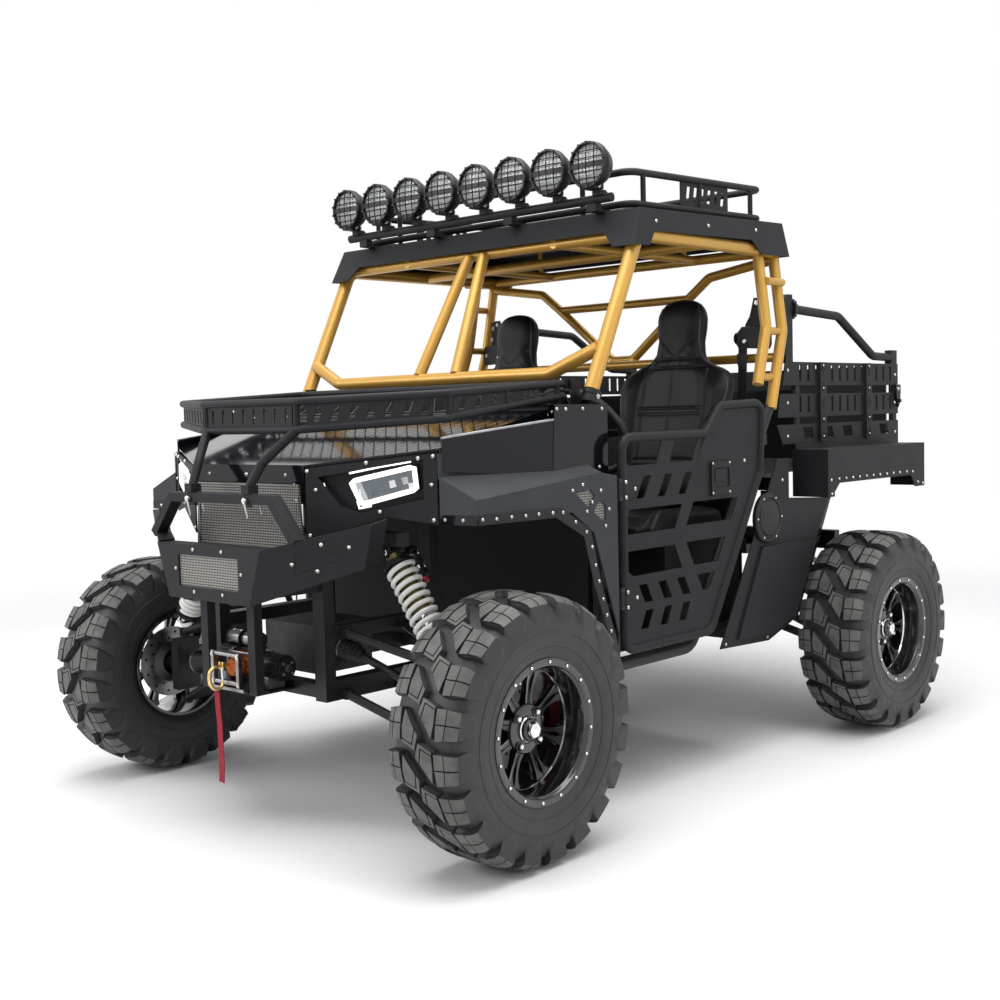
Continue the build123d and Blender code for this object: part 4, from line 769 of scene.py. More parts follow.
def make_shock(shape, side, back, top, foot):
    """A coil-over shock with its reservoir, from its foot up."""
    low, high = at(side * foot[0], back, foot[1]), at(side * top[0], back, top[1])
    axis = (high - low).normalized()
    length = (high - low).length
    first, second = frame_about(axis)
    start, end = SPRING_FROM * length, SPRING_TO * length
    open_rise = (end - start - CLOSE_TURNS * CLOSE_RISE) / OPEN_TURNS
    path = []
    for step in range((CLOSE_TURNS + OPEN_TURNS) * COIL_STEPS + 1):
        wound = step / COIL_STEPS
        height = start + min(wound, CLOSE_TURNS) * CLOSE_RISE + max(0, wound - CLOSE_TURNS) * open_rise
        path.append(low + axis * height + (first * cos(tau * wound) + second * sin(tau * wound)) * COIL)
    shape.tube(path, WIRE, 8)
    # Perch, rod, body and collar, and the eyes at both ends.
    shape.lathe(metres(PERCH), low + axis * (start - 0.156 - WIRE), axis, 32, slot=3, caps=True)
    shape.rod(low + axis * 0.012, low + axis * 0.5 * length, 0.0085, 14, slot=2)
    for profile, steps, slot, caps in ((DAMPER, 28, 1, True), (COLLAR, 30, 3, False)):
        shape.lathe([(radius, share * length) for radius, share in profile], low, axis, steps, slot, caps)
    for place, reach in ((low + axis * 0.006, 0.02), (high - axis * 0.004, 0.024)):
        shape.rod(place - REARWARD * reach, place + REARWARD * reach, 0.0165, 20, slot=3)
        for hand in SIDES:
            shape.hexagon(place + REARWARD * hand * reach, REARWARD * hand, 0.0095, 0.008, slot=2)
    # The reservoir behind, with its red knob below, on a short bridge.
    behind = REARWARD * 0.072
    foot_end, head_end = low + axis * 0.72 * length + behind, low + axis * length + behind
    tall = (head_end - foot_end).length
    for profile in (((0.016, 0), (0.0215, 0.004), (0.0215, tall * 0.86), (0.022, tall * 0.87)),
                    ((0.022, tall * 0.87), (0.022, tall * 0.985), (0.017, tall))):
        shape.lathe(profile, foot_end, axis, 26, slot=3, caps=True)
    shape.lathe(metres(KNOB), foot_end, axis, 12, slot=4, caps=True)
    bridge = [head_end - axis * 0.03, head_end - axis * 0.02 - REARWARD * 0.036, low + axis * 0.93 * length]
    shape.tube(bridge, 0.011, 10, slot=3)
    for share in (0.3, 0.75):
        shape.lathe(metres(RESERVOIR_BAND), foot_end + axis * tall * share, axis, 26, slot=2)


for node, back, top, foot in SHOCKS:
    pair = Shape()
    for side in SIDES:
        make_shock(pair, side, back, top, foot)
        # The clevis that hangs the shock's eye from the frame.
        eye = at(side * top[0], back, top[1])
        for hand in SIDES:
            low_corner = eye + Vector((-0.016, hand * 0.0255 - 0.003, -0.018))
            pair.brick(low_corner, low_corner + Vector((0.032, 0.006, 0.031)), slot=3)
    pair.piece(f"{node}_look", ("spring_white", "damper_gold", "chrome", "lamp_plastic", "caliper_red"),
               slot="spring_white", replaces=(node,))


# ---------------------------------------------------------------------------- lamps
LAMP_COUNT = 8
LAMP_END_X = 591
LAMP_FACE = (700, 2027)
# The lamp's housing from its face back, and its lens: (radius, depth).
HOUSING = ((64.5, 9), (65.5, 1), (67.5, -1.5), (72.5, -1), (74.6, 2), (74.8, 11), (73, 13), (73, 16),
           (74.8, 18), (74.8, 26), (71, 31), (67, 44), (60, 60), (45, 73), (24, 80), (0.2, 81))
LENS = ((0.2, 4), (25, 4.7), (48, 6.6), (65.5, 9.5))
# The wire guard over the lens: its radius, its bulge, its wires' radius in metres, and their places.
GUARD_RADIUS, BULGE, GUARD_WIRE = 70, 7, 0.0021
GUARD_UPRIGHTS = (-31, 0, 31)
GUARD_RUNGS = (-44, -22, 22, 44)
GUARD_TABS = 14
LAMP_BOLT = ((12, 0), (12, 14), (8, 18))


def guard_point(x, across, up):
    """A point on the guard, which bulges forward in front of the lens."""
    reach = min(1.0, (across**2 + up**2) / GUARD_RADIUS**2)
    return at(x + across, LAMP_FACE[0] + 2 - BULGE * (1 - reach), LAMP_FACE[1] + up)


def make_roof_lamps():
    """Eight round lamps with wire guards, feet and brackets, and their ribbed lenses."""
    lamps, lenses = Shape(), Shape()
    for lamp in range(LAMP_COUNT):
        x = (2 * lamp / (LAMP_COUNT - 1) - 1) * LAMP_END_X
        face = at(x, *LAMP_FACE)
        lamps.lathe(metres(HOUSING), face, REARWARD, 56)
        lenses.lathe(metres(LENS), face, REARWARD, 48)
        for across in GUARD_UPRIGHTS:
            reach = sqrt(GUARD_RADIUS**2 - across**2)
            lamps.tube([guard_point(x, across, reach * step / 5) for step in range(-5, 6)], GUARD_WIRE, 6)
        for up in GUARD_RUNGS:
            reach = sqrt(GUARD_RADIUS**2 - up**2)
            lamps.tube([guard_point(x, reach * step / 5, up) for step in range(-5, 6)], GUARD_WIRE, 6)
        # The guard's plain middle band and the tabs that hook over the rim.
        band = [[guard_point(x, GUARD_RADIUS * step / 6, up) for up in (-8, 8)] for step in range(-6, 7)]
        lamps.rings([[low, high, high + REARWARD * 0.002, low + REARWARD * 0.002] for low, high in band])
        for turn in angles(GUARD_TABS, 0.5):
            out = ACROSS * cos(turn) + UPWARD * sin(turn)
            around = UPWARD * cos(turn) - ACROSS * sin(turn)
            corner = face + out * 0.066 - around * 0.005 - REARWARD * 0.005
            lamps.slab([corner, corner + around * 0.010, corner + around * 0.008 + out * 0.0085,
                        corner + around * 0.002 + out * 0.0085], REARWARD * 0.012)
        # Foot, swivel bracket and its bolt on the bar.
        lamps.brick(at(x - 27, 705, 1951), at(x + 27, 752, 1972), bevel=0.003)
        lamps.brick(at(x - 14, 742, 1948.2), at(x + 14, 782, 1953), bevel=0.001)
        lamps.lathe(metres(LAMP_BOLT), at(x, 765, 1950), UPWARD, 16, slot=1, caps=True)
        lamps.hexagon(at(x, 765, 1967), UPWARD, 0.007, 0.008, slot=1)
        for hand in SIDES:
            lamps.hexagon(at(x + hand * 27, 728, 1962), ACROSS * hand, 0.006, 0.004, slot=1)
    lamps.piece("roof_lamps_look", ("lamp_plastic", "bolt_steel"), replaces=("roof_lamps",), sharp=40)
    return lenses


# The headlamp plate runs rearward from the nose; its own corners are (along it, height).
PLATE_START, PLATE_END = (276, -238), (662, -50)
LAMP_OUTLINE = ((134, 1056), (346, 1100), (353, 1030), (169, 984))
RUNNING_LIGHT = ((141, 1079), (240, 1097), (330, 1110))
LOWER_LIGHT = ((163, 1000), (168, 978), (205, 985))
# How large the lit frame and the glass inside it are, as shares of the outline.
LIT_FRAME, LIT_GLASS = 0.92, 0.86
# A painted highlight, drawn with the glowing lamp material: the curved bright line at the front of the lamp's
# recess, and how it thins towards its ends.
PAINTED_GLINT = ((60, 1052), (66, 1030), (80, 1006), (98, 985), (118, 969))
PAINTED_GLINT_TAPER = (0.25, 0.8, 1.0, 0.8, 0.3)


def on_plate(side, along, height, depth=0.0):
    """A point on one side's headlamp plate, sunk behind it by a depth."""
    run = Vector((PLATE_END[0] - PLATE_START[0], PLATE_END[1] - PLATE_START[1], 0)).normalized()
    inward = Vector((-run.y, run.x, 0))
    place = Vector((PLATE_START[0], PLATE_START[1], 0)) + run * along + inward * depth
    return at(side * place.x, place.y, height)


def plate_normal(side):
    """The direction that one side's headlamp plate faces."""
    ahead = on_plate(side, 0, 0) - on_plate(side, 0, 0, 1)
    return ahead.normalized()


REFLECTOR_ROWS = 3
REFLECTOR_COLUMNS = 9


def make_reflector(lamps, side, corners):
    """The bowl behind a headlamp's glass: tilted chrome and dark facets between four corners."""
    dice = random.Random(4)
    for column in range(REFLECTOR_COLUMNS):
        for row in range(REFLECTOR_ROWS):
            places = []
            for across, up in ((0, 0), (1, 0), (1, 1), (0, 1)):
                share = (column + across) / REFLECTOR_COLUMNS
                low, high = corners[3].lerp(corners[2], share), corners[0].lerp(corners[1], share)
                places.append(low.lerp(high, (row + up) / REFLECTOR_ROWS))
            depths = [dice.uniform(9.5, 15) for _ in places]
            lamps.add([on_plate(side, place.x, place.y, depth) for place, depth in zip(places, depths)],
                      [[0, 1, 2], [0, 2, 3]], dice.choice((1, 2, 2, 3)))


def make_headlamps(lenses):
    """The lit frame of each headlamp, its cells, and the light strip above."""
    lamps = Shape()
    for side in SIDES:
        corners = [Vector((along, height)) for along, height in LAMP_OUTLINE]
        middle = sum(corners, Vector((0, 0))) / 4
        inset = [middle + (corner - middle) * LIT_FRAME for corner in corners]
        core = [middle + (corner - middle) * LIT_GLASS for corner in corners]
        path = []
        for here, after in zip(inset, inset[1:] + inset[:1]):
            path += [here.lerp(after, 0.06), here.lerp(after, 0.5), here.lerp(after, 0.94)]
        lamps.tube([on_plate(side, point.x, point.y, 5.5) for point in path], 0.0072, 12, closed=True)
        lamps.tube([on_plate(side, *point, 3) for point in RUNNING_LIGHT], 0.0028, 8)
        lamps.tube([on_plate(side, *point, 5) for point in LOWER_LIGHT], 0.0035, 8)
        make_reflector(lamps, side, core)
        # A glowing curve on the recess's front edge: a painted highlight, not a lamp.
        lamps.tube([on_plate(side, *point, 4) for point in PAINTED_GLINT], 0.0042, 8, taper=PAINTED_GLINT_TAPER)
        cover = [on_plate(side, point.x, point.y, 8) for point in core]
        lenses.slab(cover, plate_normal(side) * 0.001, slot=1)
    lamps.piece("headlamp_cells", ("led_white", "reflector", "lamp_glass", "chrome"), slot="lamp_lens",
                sharp=25)


lens_shape = make_roof_lamps()
make_headlamps(lens_shape)
lens_shape.piece("lenses_look", ("lamp_lens", "clear_glass"), replaces=("lamp_lenses",))


# ---------------------------------------------------------------------------- seats
SEAT_X = 415
# The seat back's outline: (height, half width, middle's place behind the front axle, depth).
BACK_OUTLINE = ((884, 205, 1350, 96), (900, 214, 1352, 104), (1000, 222, 1368, 104), (1150, 234, 1392, 98),
                (1250, 254, 1413, 90), (1310, 264, 1425, 84), (1345, 258, 1433, 80), (1370, 238, 1438, 78),
                (1388, 208, 1442, 76), (1400, 176, 1445, 74), (1412, 146, 1449, 72), (1440, 124, 1456, 70),
                (1490, 114, 1464, 70), (1540, 118, 1467, 76), (1585, 116, 1470, 80), (1615, 104, 1472, 80),
                (1638, 82, 1473, 74), (1651, 54, 1474, 62), (1656, 24, 1474, 40))


def both_sides(seams):
    """Seams of the left side and their mirror images."""
    mirrored = [([(-across, along) for across, along in path], half_width, depth)
                for path, half_width, depth in seams]
    return (*seams, *mirrored)


# Seams over the front of the back: (points across the seat and up, half width, depth).
BACK_SEAMS = (
    *both_sides((
        (((150, 900), (152, 1150), (154, 1300), (146, 1392)), 7, 9), (((118, 1252), (118, 1380)), 4, 2.5),
        (((118, 1212), (118, 1060)), 4, 2.5), (((262, 1262), (154, 1178)), 5, 5),
        (((230, 1110), (152, 1060)), 5, 4), (((92, 1512), (0, 1436)), 4, 4),
    )),
    *((((-150, height), (150, height)), 5, 5) for height in (1031, 1052, 1221, 1243)),
    (((-146, 1392), (146, 1392)), 6, 7), (((0, 1031), (0, 1392)), 4, 3), (((-112, 1424), (112, 1424)), 5, 5),
    (((-96, 1428), (-94, 1500), (-98, 1560), (-86, 1610), (-56, 1634), (0, 1642), (56, 1634), (86, 1610),
      (98, 1560), (94, 1500), (96, 1428)), 5, 5),
)
HARNESS_SLOTS = ((-88, -26, 1408), (26, 88, 1408))
# The cushion's half width, front, rear, underside and top, and its seams: (points across and back,
# half width, depth).
CUSHION = (235, 1000, 1400, 792, 866)
CUSHION_SEAMS = (
    *both_sides(((((150, 962), (148, 1400)), 7, 9),)),
    *((((-148, back), (148, back)), 5, 5) for back in (1140, 1160, 1300)),
    (((0, 1140), (0, 1300)), 4, 3), (((-148, 1130), (0, 1010), (148, 1130)), 5, 4),
)
# Sides and squareness of a level section of the back, and of an upright one of the cushion.
SECTION_SIDES, SECTION_POWER = 40, 3.4
CUSHION_ROWS, CUSHION_SIDES, CUSHION_POWER = 16, 48, 4.2
# The padding's simulation: the mesh's grain, how far it may swell, and its frames.
GRAIN, SWELL, CLOTH_FRAMES = 0.009, 0.012, 20


def rounded(turn, power):
    """Where a turn meets a square of half width one whose corners a low power rounds."""
    return [abs(part) ** (2 / power) * (1 if part > 0 else -1) for part in (cos(turn), sin(turn))]


def section(half_width, front, rear, height):
    """A level, round-cornered section about a seat's middle, in its own millimetres."""
    ring = []
    for turn in angles(SECTION_SIDES):
        across, back = rounded(turn, SECTION_POWER)
        ring.append(Vector((half_width * across, (front + rear) / 2 + (rear - front) / 2 * back, height)))
    return ring


def settled_mesh(thing):
    """The mesh of an object with its modifiers done."""
    graph = bpy.context.evaluated_depsgraph_get()
    return bpy.data.meshes.new_from_object(thing.evaluated_get(graph))


def stuffed(form, name):
    """A padded form: remeshed evenly, filled by the cloth simulation, and divided once."""
    mesh = bpy.data.meshes.new(name)
    mesh.from_pydata(form.points, [], form.faces)
    thing = stood(name, mesh)
    even = thing.modifiers.new("even", "REMESH")
    even.mode = "VOXEL"
    even.voxel_size = GRAIN
    soften = thing.modifiers.new("soften", "SMOOTH")
    soften.iterations = 6
    thing.data = settled_mesh(thing)
    thing.modifiers.clear()
    rest = [vertex.co.copy() for vertex in thing.data.vertices]
    cloth = thing.modifiers.new("cloth", "CLOTH")
    cloth.settings.quality = 4
    cloth.settings.mass = 0.4
    cloth.settings.bending_stiffness = 3
    cloth.settings.use_pressure = True
    cloth.settings.uniform_pressure_force = 4
    cloth.settings.effector_weights.gravity = 0
    cloth.collision_settings.use_collision = False
    cloth.point_cache.frame_start = 1
    cloth.point_cache.frame_end = CLOTH_FRAMES
    for frame_number in range(1, CLOTH_FRAMES + 1):
        bpy.context.scene.frame_set(frame_number)
    filled = settled_mesh(thing)
    thing.modifiers.clear()
    bpy.context.scene.frame_set(1)
    for vertex, before in zip(filled.vertices, rest):
        moved = vertex.co - before
        if moved.length > SWELL:
            vertex.co = before + moved.normalized() * SWELL
    thing.data = filled
    divide = thing.modifiers.new("divide", "SUBSURF")
    divide.levels = 1
    mesh = settled_mesh(thing)
    bpy.data.objects.remove(thing)
    return mesh


def press_near(places, path, half_width, depth):
    """How far each flat place is pressed in by the seam along a path."""
    press = numpy.zeros(len(places))
    for start, end in zip(path, path[1:]):
        start, along = numpy.array(start, float), numpy.array(end, float) - numpy.array(start, float)
        share = numpy.clip((places - start) @ along / (along @ along), 0, 1)
        gap = numpy.linalg.norm(places - start - share[:, None] * along, axis=1)
        narrow = numpy.clip(1 - gap / half_width, 0, 1)
        wide = numpy.clip(1 - gap / (half_width * 5), 0, 1) ** 2
        press = numpy.maximum(press, depth * (0.55 * narrow + 0.45 * wide))
    return press


def sew(mesh, seams, into, axes, facing):
    """Press seams into the side of a mesh that faces one way; the axes flatten its points."""
    count = len(mesh.vertices)
    points, normals = numpy.empty(count * 3), numpy.empty(count * 3)
    mesh.vertices.foreach_get("co", points)
    mesh.vertices.foreach_get("normal", normals)
    points, normals = points.reshape(-1, 3), normals.reshape(-1, 3)
    places = points[:, axes] * 1000
    press = numpy.zeros(count)
    for path, half_width, depth in seams:
        press = numpy.maximum(press, press_near(places, path, half_width, depth))
    press[normals @ numpy.array(facing) < 0.25] = 0
    points += numpy.outer(press / 1000, numpy.array(into))
    mesh.vertices.foreach_set("co", points.ravel())


def padded_piece(mesh, name, origin, mirror, node):
    """Put a stuffed mesh in its place, on either seat."""
    copy = mesh.copy()
    if mirror:
        for vertex in copy.vertices:
            vertex.co.x = -vertex.co.x
        copy.flip_normals()
    copy.materials.clear()
    copy.materials.append(looks["seat_leather"])
    copy.shade_smooth()
    piece = stood(name, copy, origin)
    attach(piece, "root")
    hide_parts(node)
    return piece


def back_shape():
    """The seat back before it is stuffed: dished in the middle, with bolsters beside."""
    shape = Shape()
    rings = []
    for height, half_width, middle, depth in BACK_OUTLINE:
        wide, front, rear = half_width - 6, middle - depth / 2 + 6, middle + depth / 2 - 4
        ring = section(wide, front, rear, height)
        fade = max(0.0, min(1.0, (1420 - height) / 120))
        for point in ring:
            if point.y < middle:
                edge = min(1.0, abs(point.x) / 215)
                point.y += fade * (14 - 34 * max(0.0, edge - 0.55) / 0.45)
        rings.append([point / 1000 for point in ring])
    shape.rings(rings)
    return shape


def cushion_shape():
    """The seat cushion before it is stuffed, with a bolster along each side."""
    half_width, front, rear, floor, top = CUSHION
    shape = Shape()
    rings = []
    for row in range(CUSHION_ROWS + 1):
        back = front - 34 + (rear - front + 34) * row / CUSHION_ROWS
        nose = max(0.0, (1035 - back) / 70)
        crown = top - 26 * nose**2
        ring = []
        for turn in angles(CUSHION_SIDES):
            across, up = rounded(turn, CUSHION_POWER)
            x = (half_width - 8) * across
            z = (floor + crown) / 2 + (crown - floor) / 2 * up
            if up > 0:
                bolster = max(0.0, (abs(x) - 140) / 87)
                z += 30 * min(1.0, bolster * 1.6) * (1 - nose) * up - 5 * (1 - bolster) * up
            ring.append(Vector((x, back, z)) / 1000)
        rings.append(ring)
    shape.rings(rings)
    return shape


def make_seats():
    """Both seats: a stuffed back and cushion each, with piping, and slots drawn as dark sheets of painted
    shade.
    """
    back = stuffed(back_shape(), "seat_back")
    sew(back, BACK_SEAMS, REARWARD, (0, 2), -REARWARD)
    cushion = stuffed(cushion_shape(), "seat_cushion")
    sew(cushion, CUSHION_SEAMS, -UPWARD, (0, 1), UPWARD)
    surface = BVHTree.FromPolygons([vertex.co for vertex in back.vertices],
                                   [polygon.vertices for polygon in back.polygons])
    # The piping follows the back's front edge, apart from the lowest row and the top of the headrest.
    welt = []
    for height, half_width, _, _ in BACK_OUTLINE[1:16]:
        hit = surface.ray_cast(Vector(((half_width - 26) / 1000, 0.9, height / 1000)), REARWARD)[0]
        if hit:
            welt.append(hit + REARWARD * 0.001)
    for side, node in zip(SIDES, ("seat_left", "seat_right")):
        origin = at(side * SEAT_X, 0, 0)
        padded_piece(back, f"{node}_back", origin, side < 0, node)
        padded_piece(cushion, f"{node}_cushion", origin - ACROSS * side * 0.005, side < 0, node)
        trim = Shape()
        for hand in SIDES:
            path = [origin + Vector((hand * point.x, point.y, point.z)) for point in welt]
            trim.tube(path, 0.0042, 8)
        # Each harness slot: a dark sheet of painted shade inside a piped rim.
        for low, high, height in HARNESS_SLOTS:
            ends = []
            for across in (low, high):
                hit = surface.ray_cast(Vector((across / 1000, 0.9, height / 1000)), REARWARD)[0]
                ends.append(origin + hit - REARWARD * 0.0006)
            half_height = UPWARD * 0.010
            rim = [ends[0] - half_height, ends[1] - half_height, ends[1] + half_height,
                   ends[0] + half_height]
            trim.slab(rim, REARWARD * 0.006, slot=1)
            trim.tube(rim, 0.0032, 6, closed=True)
        trim.piece(f"{node}_trim", ("seat_piping", "hole_shade_and_dial_black"), slot="seat_leather")


make_seats()


# ------------------------------------------------------------------------ fasteners
REPLACED = ("tyre_", "rim_", "roof_lamps", "lamp_lenses", "front_shocks", "rear_shocks", "seat_")
# Button-head bolts that face outward on the left side: (radius, across, their places as (behind
# the front axle, height)). The right side has the same.
SIDE_BOLTS = (
    (5.5, 797, ((-41, 949), (15, 947), (77, 948), (136, 947), (192, 948), (254, 947), (300, 945),
        (357, 913), (407, 879), (432, 832), (447, 775), (462, 725), (480, 668), (497, 617), (516, 565))),
    (5.5, 797, ((349, 1006), (397, 1021), (482, 999), (440, 966), (414, 940), (521, 940), (503, 890))),
    (6.0, 673, ((410, 1238), (469, 1244), (551, 1247), (646, 1244), (625, 1065))),
    (5.5, 790, ((1903, 880), (1875, 835), (1848, 789), (1820, 743), (1796, 698), (1555, 972), (1172, 426),
        (1440, 414))),
    (5.5, 850, ((1845, 962), (1899, 962), (1952, 962), (2005, 962), (2060, 962), (2115, 962), (2170, 962),
        (2227, 962), (2283, 962), (2339, 962), (2400, 962), (2452, 960), (2500, 915), (2544, 908),
        (1790, 908), (1787, 960))),
    (6.5, 790, ((612, 1017), (612, 969), (668, 993), (612, 673), (612, 625), (668, 649), (1306, 1054))),
    (4.5, 790, ((1100, 952), (1201, 952), (1100, 1052), (1201, 1052))),
    (6.5, 720, ((1737, 1372), (1734, 1250), (1732, 1125), (2603, 1359), (2600, 1243), (2600, 1119))),
    (4.5, 715, ((1982, 1392), (1982, 1305), (1982, 1185), (1982, 1118), (2354, 1392), (2354, 1305),
        (2354, 1185), (2354, 1118))),
    (6.0, 727, ((880, 1848), (1180, 1858), (1480, 1868))),
)
# Those that face another way: (that way, radius, their places as (across, behind, height)).
OTHER_BOLTS = (
    ((0, -1, 0), 6.0, ((190, -243, 1074), (2, -243, 1074), (240, -243, 1000))),
    ((0, -1, 0), 5.5, ((72, -392, 855), (165, -392, 794), (72, -392, 728))),
    ((0.54, -0.82, -0.18), 6.5, ((333, -336, 829), (415, -295, 886), (482, -250, 878), (393, -293, 810))),
    ((0, 1, 0), 6.0, ((640, 2640, 1120), (420, 2640, 1120), (210, 2640, 1120), (640, 2640, 1330),
        (420, 2640, 1330), (210, 2640, 1330))),
    ((0, 0, 1), 6.0, ((640, 900, 1900), (640, 1250, 1900), (640, 1600, 1900), (300, 1600, 1900),
        (300, 900, 1900))),
)
# Bolts of the headlamp plate: (along it, height).
PLATE_BOLTS = ((10, 1086), (195, 1108), (353, 1119), (398, 1124), (392, 1044), (233, 968), (396, 944),
               (36, 1032), (14, 900))


def cad_surface():
    """A search tree over the solids that stay, and the node behind each of its faces."""
    points, faces, nodes = [], [], []
    for name, thing in frame["nodes"].items():
        if name.startswith(REPLACED):
            continue
        first = len(points)
        points.extend(thing.matrix_world @ vertex.co for vertex in thing.data.vertices)
        for polygon in thing.data.polygons:
            faces.append([first + corner for corner in polygon.vertices])
            nodes.append(name)
    return BVHTree.FromPolygons(points, faces), nodes


surface_tree, surface_nodes = cad_surface()


def seated(place, outward, reach=0.06):
    """Where a bolt from outside meets the solids: the point, its normal, and the node."""
    point, normal, face, _ = surface_tree.ray_cast(place + outward * reach, -outward, 2 * reach)
    if point is None:
        return None
    if normal.dot(outward) < 0:
        normal = -normal
    return point, normal, surface_nodes[face]


def make_bolts():
    """Every button-head bolt, gathered by the body that carries it."""
    side_bolts = [((1, 0, 0), radius, [(x, *place) for place in places]) for radius, x, places in SIDE_BOLTS]
    gathered = {}
    for outward, radius, places in (*side_bolts, *OTHER_BOLTS):
        for side in SIDES:
            direction = Vector((side * outward[0], outward[1], outward[2])).normalized()
            for x, back, z in places:
                found = seated(at(side * x, back, z), direction)
                if found is None:
                    print("no seat for a bolt at", side * x, back, z)
                    continue
                point, normal, node = found
                shape = gathered.setdefault(body_of(frame["nodes"][node])[0], Shape())
                shape.button(point, normal, radius / 1000)
    for side in SIDES:
        for along, height in PLATE_BOLTS:
            found = seated(on_plate(side, along, height), plate_normal(side))
            if found:
                gathered["root"].button(found[0], found[1], 0.006)
    for body, shape in gathered.items():
        shape.piece(f"bolts_{body}", ("bolt_steel",), body=body, slot="winch_metal")


make_bolts()

# -------------------------------------------------------------------- panels and trim
ARCH_STRIP = ((-55, 962, -55, 934), (292, 960, 270, 932), (427, 884, 397, 866), (470, 728, 440, 716),
              (556, 500, 532, 490))
QUARTER_EDGE = ((1905, 887, 1880, 880), (1652, 461, 1632, 478))
# The round cap on each quarter panel: its centre, its profile, and its bolts' circle in metres.
FUEL_CAP = (1440, 843)
CAP_PROFILE = ((90, 0), (90, 12), (84, 17), (74, 17), (71, 13), (66, 13), (62, 18), (30, 19.5), (0.2, 19.5))
CAP_BOLT_CIRCLE = 0.079
# The pocket of the bumper's wing.
WING_POCKET = ((349, -332.4, 858), (472, -253, 863), (449, -262.4, 838), (332, -329.8, 797))


def make_panel_trim():
    """Gloss strips along the arches and quarter panels, the round caps with their bolts, and the pocket of
    the bumper's wing.
    """
    trim = Shape()
    for side in SIDES:
        outward = ACROSS * side
        for strip, x in ((ARCH_STRIP, 798.6), (QUARTER_EDGE, 780.6)):
            for (b0, z0, b1, z1), (b2, z2, b3, z3) in zip(strip, strip[1:]):
                corners = [at(side * x, back, z) for back, z in ((b0, z0), (b2, z2), (b3, z3), (b1, z1))]
                trim.slab(corners, outward * 0.0004)
        cap = at(side * 781, *FUEL_CAP)
        trim.lathe(metres(CAP_PROFILE), cap, outward, 48, slot=1)
        for turn in angles(6):
            place = cap + outward * 0.0172 + around_x(turn) * CAP_BOLT_CIRCLE
            trim.button(place, outward, 0.004, slot=2)
        # The pocket is a shade glossier than the wing.
        floor = [at(side * x, back + 1.2, z) for x, back, z in WING_POCKET]
        trim.slab(floor, Vector((side * 0.0003, -0.0004, 0)))
    trim.piece("panel_trim", ("gloss_black", "lamp_plastic", "bolt_steel"), sharp=30)


make_panel_trim()


# ------------------------------------------------------------- winch, hook and pull strap
# The winch's round bodies along its axle, as (low across, high across, radius, material slot).
WINCH_AXLE = (-245, 500)
WINCH_ROUNDS = ((-62, -58, 46, 2), (58, 62, 46, 2), (62, 72, 42, 0), (72, 168, 38, 1), (168, 178, 30, 1),
                (-72, -62, 44, 0), (-138, -72, 43, 1), (-150, -138, 36, 1))
# Cooling ribs of the motor and the gearbox: (low across, high across, radius, count).
WINCH_RIBS = ((76, 164, 38, 18), (-134, -76, 43, 20))
DRUM_TURNS, DRUM_STEPS, DRUM_RADIUS, DRUM_HALF, LAYER_RISE = 11, 20, 35, 53, 5.5
ROPE_RADIUS = 0.0034
ROPE_END = ((8, -237, 542), (6, -295, 522), (3, -300, 508), (0, -352, 505))
# The coil of rope and its stopper just behind the fairlead.
ROPE_COIL = ((6, 0), (22, 1), (26.5, 6), (25.5, 11), (27.5, 16), (26.5, 21), (28, 27), (26, 33), (20, 38),
             (4, 40))
# Round bars across the winch: (half length, behind the front axle, height, radius, steps round).
WINCH_BARS = ((58, -336, 452, 8, 24), (58, -336, 537, 7, 24), (62, -280, 534, 4.5, 14),
              (62, -212, 534, 4.5, 14), (62, -212, 466, 4.5, 14))
SOLENOIDS = ((-40, 575), (40, 575))


def across_pin(shape, low, high, back, z, radius, slot=0, steps=32):
    """A round bar that lies across the vehicle."""
    shape.rod(at(low, back, z), at(high, back, z), radius / 1000, steps, slot=slot)


